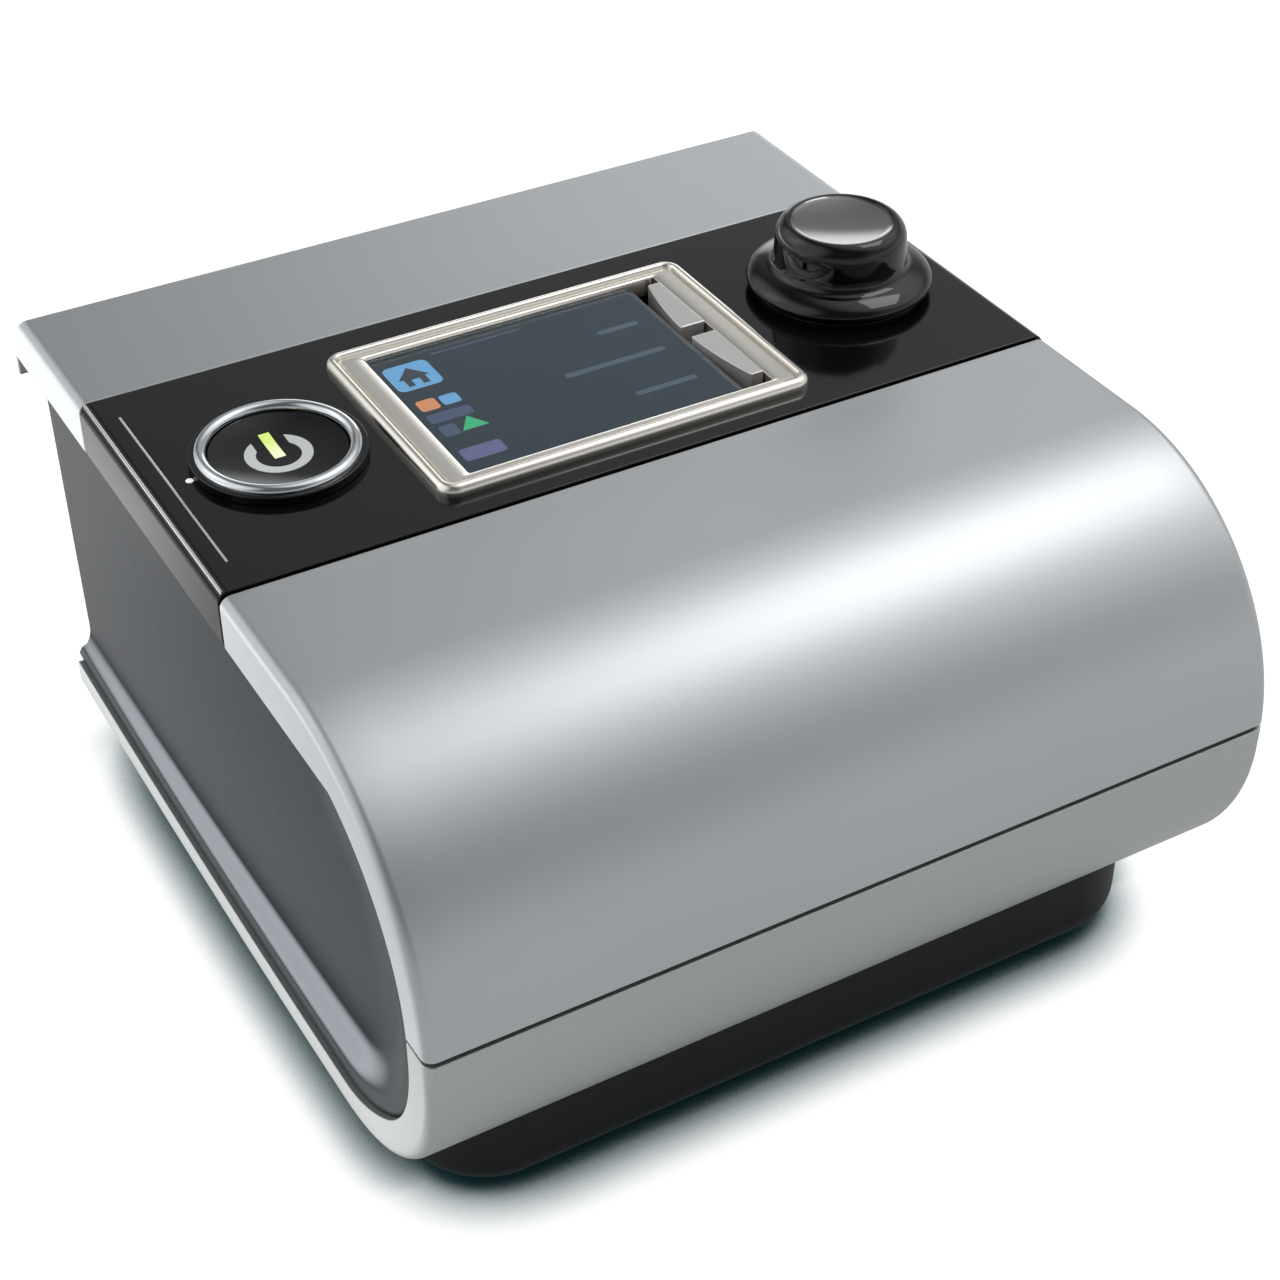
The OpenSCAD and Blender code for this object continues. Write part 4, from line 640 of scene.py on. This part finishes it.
def panelPiece(s):
    # ruled grid between the ledge line and the rear and top edges; x follows a smooth step away from
    # the ledge line, and each pair of settings below is where a change begins and its span
    def along(value, pair):
        return np.clip((value - pair[0]) / pair[1], 0, 1)
    line = ledgeLine(s)
    corner = [line[-1][0], caseSet["top"] - caseSet["rimTop"] - s["gap"]]
    a = resample(np.concatenate([line, [corner]]), s["stations"])
    b = resample(np.concatenate([s["rear"], [corner]]), s["stations"])
    near = np.linspace(0, s["band"], s["nearSteps"])
    length = np.linalg.norm(b - a, axis=1)[:, None]
    reach = np.minimum(s["band"], 0.5 * length)
    t1 = (near / s["band"])[None] * reach / np.maximum(length, 1e-6)
    t2 = t1[:, -1:] + (1 - t1[:, -1:]) * np.linspace(0, 1, s["farSteps"])[None, 1:]
    t = np.concatenate([t1, t2], 1)
    yz = a[:, None] * (1 - t[..., None]) + b[:, None] * t[..., None]
    flat = yz.reshape(-1, 2)
    fine = resample(line, s["linePoints"])
    dist = np.concatenate([np.sqrt(((chunk[:, None] - fine[None]) ** 2).sum(-1)).min(1)
                           for chunk in np.array_split(flat, s["chunks"])])
    h = along(flat[:, 1], s["bowlZ"])
    # a tight fold near the belly that opens into a bowl higher up
    f = along(dist, (s["ledge"], s["fall"] + (s["wide"] - s["fall"]) * h * h * (3 - 2 * h)))
    step = (1 - h) * f * f * f * (f * (6 * f - 15) + 10) + h * (1 - (1 - f) ** 2)
    depth = s["low"] + (s["high"] - s["low"]) * along(flat[:, 1], s["deepZ"])
    depth = depth * (1 - s["fade"] * along(flat[:, 0], s["fadeY"]))
    edge = s["edge"][0] * np.clip(1 - dist / s["edge"][1], 0, 1) ** 2
    x = s["out"] - depth * step - edge
    rows, cols = t.shape
    front = np.stack([-x, flat[:, 0], flat[:, 1]], -1)
    back = np.stack([np.full(len(x), -(s["out"] - s["thick"])), flat[:, 0], flat[:, 1]], -1)
    quads = gridQuads(rows, cols)
    count = rows * cols
    rim0 = np.arange(rows) * cols
    rim1 = rim0 + cols - 1
    sides = []
    for rim in (rim0, rim1):
        sides.append(np.stack([rim[:-1], rim[1:], rim[1:] + count, rim[:-1] + count], -1))
    return np.concatenate([front, back]), np.concatenate([quads, quads[:, ::-1] + count] + sides)


pts, quads = panelPiece(panelSet)
addPiece("leftPanel", pts, quads, "slatePanel", "housing", ("side_panel_left",), sharp=panelSet["sharp"])
print("side panel ready")

# display: a ridged bezel, a dark screen with plain icons, and two pearly keys

bezelSet = {"centre": (-1.7, 87.4), "size": (63.4, 43.8), "corner": 3.0, "base": 84.3,
            "well": (-27.6, 24.4, 68.9, 105.9), "wellRadius": 0.7, "collar": 3.3, "low": -1.9,
            "leastRadius": 0.35,
            "ridge": [(0.0, 0.0), (0.0, 0.75), (0.12, 1.2), (0.4, 1.62), (0.8, 1.86), (1.15, 1.9),
                      (1.45, 1.8), (1.65, 1.45), (1.75, 0.9), (1.95, 0.6), (2.2, 0.95), (2.35, 1.28)],
            "ledge": [(0.0, 1.3), (0.5, 1.36), (0.9, 1.3), (1.0, 1.12), (1.0, -1.9)]}


def addBezel(s):
    # rings stepping in along the ridge profile, then blending to the well's own rectangle
    cx, cy = s["centre"]
    hw, hd = s["size"][0] / 2, s["size"][1] / 2

    def inset(d, z):
        box = (cx - hw + d, cx + hw - d, cy - hd + d, cy + hd - d)
        return ringLoop(box, max(s["corner"] - d, s["leastRadius"]), s["base"] + z)

    rings = [inset(d, z) for d, z in s["ridge"]]
    last = rings[-1]
    well = ringLoop(s["well"], s["wellRadius"], s["base"])
    for f, z in s["ledge"]:
        ring = last * (1 - f) + well * f
        ring[:, 2] = s["base"] + z
        rings.append(ring)
    rings += [inset(s["collar"], s["low"]), inset(s["collar"], 0.0)]
    pts, quads, loops = ringStack(rings, closed=True)
    addPiece("bezelFrame", pts, quads, "champagne", "housing", ("display_bezel",), loops, sharp=50)


screenSet = {"box": (-27.0, 19.1, 69.5, 105.3), "corner": 0.4, "low": 83.905, "top": 83.94,
             "icon": 83.965, "skin": 0.004, "signLift": 0.002, "signThick": 0.012,
             "tiles": [("iconSky", (-26.2, -18.6, 95.2, 102.8), 1.2),
                       ("iconAmber", (-25.6, -22.4, 88.6, 91.8), 0.6),
                       ("iconSky", (-21.8, -18.8, 88.8, 91.6), 0.6),
                       ("iconSlate", (-25.8, -18.6, 84.9, 87.4), 0.5),
                       ("iconSlate", (-25.6, -22.9, 80.6, 83.8), 0.5),
                       ("iconMauve", (-25.8, -18.9, 73.2, 76.6), 0.7),
                       ("iconSlate", (-17.2, -1.5, 103.2, 103.6), 0.15),
                       ("barFaint", (8.6, 15.8, 95.3, 96.5), 0.3),
                       ("barFaint", (-2.0, 15.6, 86.4, 87.6), 0.3),
                       ("barFaint", (5.0, 15.6, 76.6, 77.8), 0.3)],
             "house": [(-25.0, 98.4), (-22.4, 101.6), (-19.8, 98.4), (-20.6, 98.4), (-20.6, 96.2),
                       (-21.7, 96.2), (-21.7, 98.0), (-23.1, 98.0), (-23.1, 96.2), (-24.2, 96.2),
                       (-24.2, 98.4)],
             "arrow": [(-22.6, 81.0), (-20.3, 84.6), (-18.2, 81.0)]}


def addScreen(s):
    # a lit film under the glass, with thin coloured tiles and two signs laid on it
    def layer(name, shape, material):
        pts, quads, loops = shape
        addPiece(name, pts, quads, material, "housing", (), loops)

    layer("screenFilm", ringStack([ringLoop(s["box"], s["corner"], z) for z in (s["low"], s["top"])]),
          "screenDark")
    for i, (material, box, radius) in enumerate(s["tiles"]):
        rings = [ringLoop(box, radius, z, 5) for z in (s["top"] + s["skin"], s["icon"])]
        layer("screenTile%d" % i, ringStack(rings), material)
    for name, material, lift in (("house", "iconInk", 0.01), ("arrow", "iconLeaf", 0.0)):
        z0, z1 = s["icon"] + s["signLift"], s["icon"] + s["signThick"] + lift
        layer("screen" + name.capitalize(), flatShape(s[name], z0, z1), material)


addBezel(bezelSet)
addScreen(screenSet)
for node in ("home_button", "info_button"):
    softened(node, 0.45, segments=3)
print("display ready")

# push-and-turn dial turned about its axis, the band's trim, and CAD parts with softened edges, among them
# the start collar

dialSet = {"centre": (50.5, 90.4), "dish": (8.0, 95.35, 95.98), "dishSteps": 16, "turns": 192, "sharp": 42,
           "side": [(8.25, 96.16), (8.5, 96.26), (8.8, 96.26), (9.2, 96.1), (9.7, 95.72), (10.15, 95.2),
                    (10.45, 94.6), (10.62, 93.9), (10.7, 93.0), (10.86, 90.6), (10.94, 89.7),
                    (11.1, 89.15), (11.5, 88.72), (12.1, 88.5), (13.2, 88.15), (14.2, 87.65),
                    (14.85, 87.1), (15.15, 86.6), (15.2, 86.3), (15.1, 85.95), (14.8, 85.74),
                    (14.4, 85.7)],
           "under": [(9.4, 85.7), (9.4, 92.6), (5.0, 92.6), (5.0, 87.1), (3.03, 87.1), (3.03, 93.7),
                     (0.0, 93.7)]}


def addDial(s):
    # a shallow bowl, z = low + (rim - low) * (r / reach)^2, then the listed side and the hollow below
    reach, low, rim = s["dish"]
    r = np.linspace(0, reach, s["dishSteps"])
    bowl = np.stack([r, low + (rim - low) * (r / reach) ** 2], -1)
    pts, quads = lathe(np.concatenate([bowl, s["side"], s["under"]]), s["centre"], s["turns"])
    addPiece("dialGrip", pts, quads, "smokedGloss", bodyOf["dial_knob"], ("dial_knob",), sharp=s["sharp"])


glowDotSet = {"centre": (-62.9, 89.1), "radius": 0.62, "base": 84.25, "rise": 0.25, "sunk": 0.6, "turns": 32}
lineSet = {"lines": [(-65.8, 67.5, 110.5), (-69.2, 61.3, 116.6)], "width": 0.34, "base": 84.28,
           "steps": ((1.0, -0.4), (1.0, 0.03), (0.6, 0.07)), "round": 0.9}


def addBandTrim(dot, line):
    # a small white domed dot that glows, left of the ring, and two fine bright lines along the band's left
    # end; the outer line, at the band's edge, is a painted highlight
    t = np.linspace(0, math.pi / 2, 8)
    foot = dot["base"] - dot["sunk"]
    dome = np.stack([dot["radius"] * np.cos(t), dot["base"] + dot["rise"] * np.sin(t)], -1)
    pts, quads = lathe(np.concatenate([[[0, foot], [dot["radius"], foot]], dome]), dot["centre"],
                       dot["turns"])
    # a white domed dot in a glowing white finish, just outside the start collar
    addPiece("whiteGlowDot", pts, quads, "iconWhite", "housing", ())
    w = line["width"] / 2
    # the line at x = -69.2 is a painted highlight along the band's left edge
    for i, (x, y0, y1) in enumerate(line["lines"]):
        rings = [ringLoop((x - w * k, x + w * k, y0, y1), w * k * line["round"], line["base"] + z, 4)
                 for k, z in line["steps"]]
        pts, quads, loops = ringStack(rings)
        addPiece("bandLine%d" % i, pts, quads, "fineSilver", "housing", (), loops)


addDial(dialSet)
addBandTrim(glowDotSet, lineSet)
for node, width in (("control_band", 0.22), ("rear_cover", 0.3), ("start_collar", 0.25),
                    ("dial_collar", 0.12), ("rear_panel", 0.3), ("filter_cover", 0.25),
                    ("side_cover_right", 0.25), ("port_cover", 0.2), ("memory_card", 0.15),
                    ("power_clip", 0.25), ("power_inlet", 0.2), ("air_outlet", 0.25)):
    softened(node, width)
print("dial, trim and softened edges ready")

# floor and light

stageSet = {"floor": 3.0, "seen": 0.3, "unseen": 0.55, "lift": 0.92, "bounce": 0.22, "reach": 0.012,
            "samples": 12, "contact": (0.45, 0.43), "shade": (0.03, 0.10, 0.11),
            "veil": (0.7, 0.83, 0.85), "card": 0.5, "near": 0.9, "cardX": -0.072, "cardFade": 0.004,
            "cardFront": (0.075, 0.03), "cardNear": (0.024, 0.012), "cardBack": (0.09, 0.04),
            "sky": 0.13, "horizon": 0.42, "horizonZ": (0.46, 0.36), "skyColour": (0.97, 0.99, 1.0),
            "lobes": [((0.54, -0.02, 0.84), 0.97, 0.70, 0.95), ((0.9, 0.5, 0.42), 0.97, 0.6, 0.12),
                      ((-0.45, 0.7, 0.52), 0.99, 0.86, 0.8), ((0.75, -0.6, 0.1), 0.95, 0.6, 0.35),
                      ((0.5, 0.84, 0.12), 0.99, 0.955, 1.5), ((-0.8, 0.2, 0.55), 0.97, 0.7, 0.9),
                      ((0.42, 0.68, 0.62), 0.99, 0.88, 0.22)]}


def addFloor(s):
    # pale floor: mostly its own glow to the camera, so it stays white, and a mid grey to other rays
    f = s["floor"]
    mesh = bpy.data.meshes.new("studioFloor")
    mesh.from_pydata([(-f, -f, 0), (f, -f, 0), (f, f, 0), (-f, f, 0)], [], [(0, 1, 2, 3)])
    floor = bpy.data.objects.new("studioFloor", mesh)
    scene.collection.objects.link(floor)
    m = bpy.data.materials.new("studioFloor")
    m.use_nodes = True
    t = m.node_tree
    p = t.nodes["Principled BSDF"]
    p.inputs["Roughness"].default_value = 0.9
    p.inputs["Specular IOR Level"].default_value = 0.1
    # the contact shadow darkens and tints the floor close to the base
    near = t.nodes.new("ShaderNodeAmbientOcclusion")
    near.samples = s["samples"]
    near.inputs["Distance"].default_value = s["reach"]
    shut, span = s["contact"]
    clear = mathNode(t, "DIVIDE", mathNode(t, "SUBTRACT", near.outputs["AO"], shut), span, True)
    path = t.nodes.new("ShaderNodeLightPath")
    seen = path.outputs["Is Camera Ray"]
    grey = mathNode(t, "ADD", mathNode(t, "MULTIPLY", seen, s["seen"] - s["unseen"]), s["unseen"])
    t.links.new(mixColour(t, clear, s["shade"] + (1,), grey), p.inputs["Base Color"])
    # a bright card lies left of the case, seen only in reflections; each pair is a place and a fade
    at = splitXYZ(t, "ShaderNodeTexCoord", "Object")
    away = mathNode(t, "SUBTRACT", s["cardX"], at["X"])
    front, frontFade = s["cardFront"]
    fromFront = mathNode(t, "DIVIDE", mathNode(t, "ADD", at["Y"], front), frontFade, True)
    inside = mathNode(t, "MULTIPLY", mathNode(t, "DIVIDE", away, s["cardFade"], True), fromFront)
    reach, reachFade = s["cardNear"]
    close = mathNode(t, "DIVIDE", mathNode(t, "SUBTRACT", reach, away), reachFade, True)
    rear, rearFade = s["cardBack"]
    back = mathNode(t, "DIVIDE", mathNode(t, "SUBTRACT", at["Y"], rear), rearFade, True)
    brighter = mathNode(t, "MULTIPLY", mathNode(t, "MAXIMUM", close, back), s["near"])
    level = mathNode(t, "ADD", brighter, s["card"])
    card = mathNode(t, "MULTIPLY", mathNode(t, "MULTIPLY", level, inside), path.outputs["Is Glossy Ray"])
    unseen = mathNode(t, "MULTIPLY", mathNode(t, "SUBTRACT", 1.0, seen), s["bounce"])
    t.links.new(mixColour(t, clear, s["veil"] + (1,), (1, 1, 1, 1)), p.inputs["Emission Color"])
    glow = mathNode(t, "MULTIPLY", mathNode(t, "MULTIPLY", seen, clear), s["lift"])
    lift = mathNode(t, "ADD", glow, card)
    t.links.new(mathNode(t, "ADD", lift, unseen), p.inputs["Emission Strength"])
    mesh.materials.append(m)


def addSky(s):
    # brighter at the horizon, plus soft round lobes given as direction, cosines of their inner and
    # outer edges, and strength
    world = bpy.data.worlds.new("studioWorld")
    world.use_nodes = True
    w = world.node_tree
    way = w.nodes.new("ShaderNodeTexCoord").outputs["Generated"]
    part = w.nodes.new("ShaderNodeSeparateXYZ")
    w.links.new(way, part.inputs[0])
    high, span = s["horizonZ"]
    low = mathNode(w, "DIVIDE", mathNode(w, "SUBTRACT", high, part.outputs["Z"]), span, True)
    glow = mathNode(w, "MULTIPLY", mathNode(w, "MULTIPLY", low, low), s["horizon"])
    total = mathNode(w, "ADD", glow, s["sky"])
    for aim, inner, outer, strength in s["lobes"]:
        dot = w.nodes.new("ShaderNodeVectorMath")
        dot.operation = "DOT_PRODUCT"
        w.links.new(way, dot.inputs[0])
        dot.inputs[1].default_value = Vector(aim).normalized()
        edge = w.nodes.new("ShaderNodeMapRange")
        edge.interpolation_type = "SMOOTHSTEP"
        w.links.new(dot.outputs["Value"], edge.inputs["Value"])
        edge.inputs["From Min"].default_value = outer
        edge.inputs["From Max"].default_value = inner
        edge.inputs["To Max"].default_value = strength
        total = mathNode(w, "ADD", total, edge.outputs["Result"])
    w.links.new(total, w.nodes["Background"].inputs["Strength"])
    w.nodes["Background"].inputs["Color"].default_value = s["skyColour"] + (1,)
    scene.world = world


def addLamp(name, place, aim, size, power):
    data = bpy.data.lights.new(name, "AREA")
    data.shape = "RECTANGLE"
    data.size, data.size_y = size
    data.energy = power
    lamp = bpy.data.objects.new(name, data)
    lamp.location = place
    lamp.rotation_euler = (Vector(aim) - Vector(place)).to_track_quat("-Z", "Y").to_euler()
    scene.collection.objects.link(lamp)


addFloor(stageSet)
addSky(stageSet)
addLamp("overheadBox", (0.5, -0.03, 0.9), (0.0, 0.0, 0.06), (0.46, 0.36), 1.5)
print("stage ready")
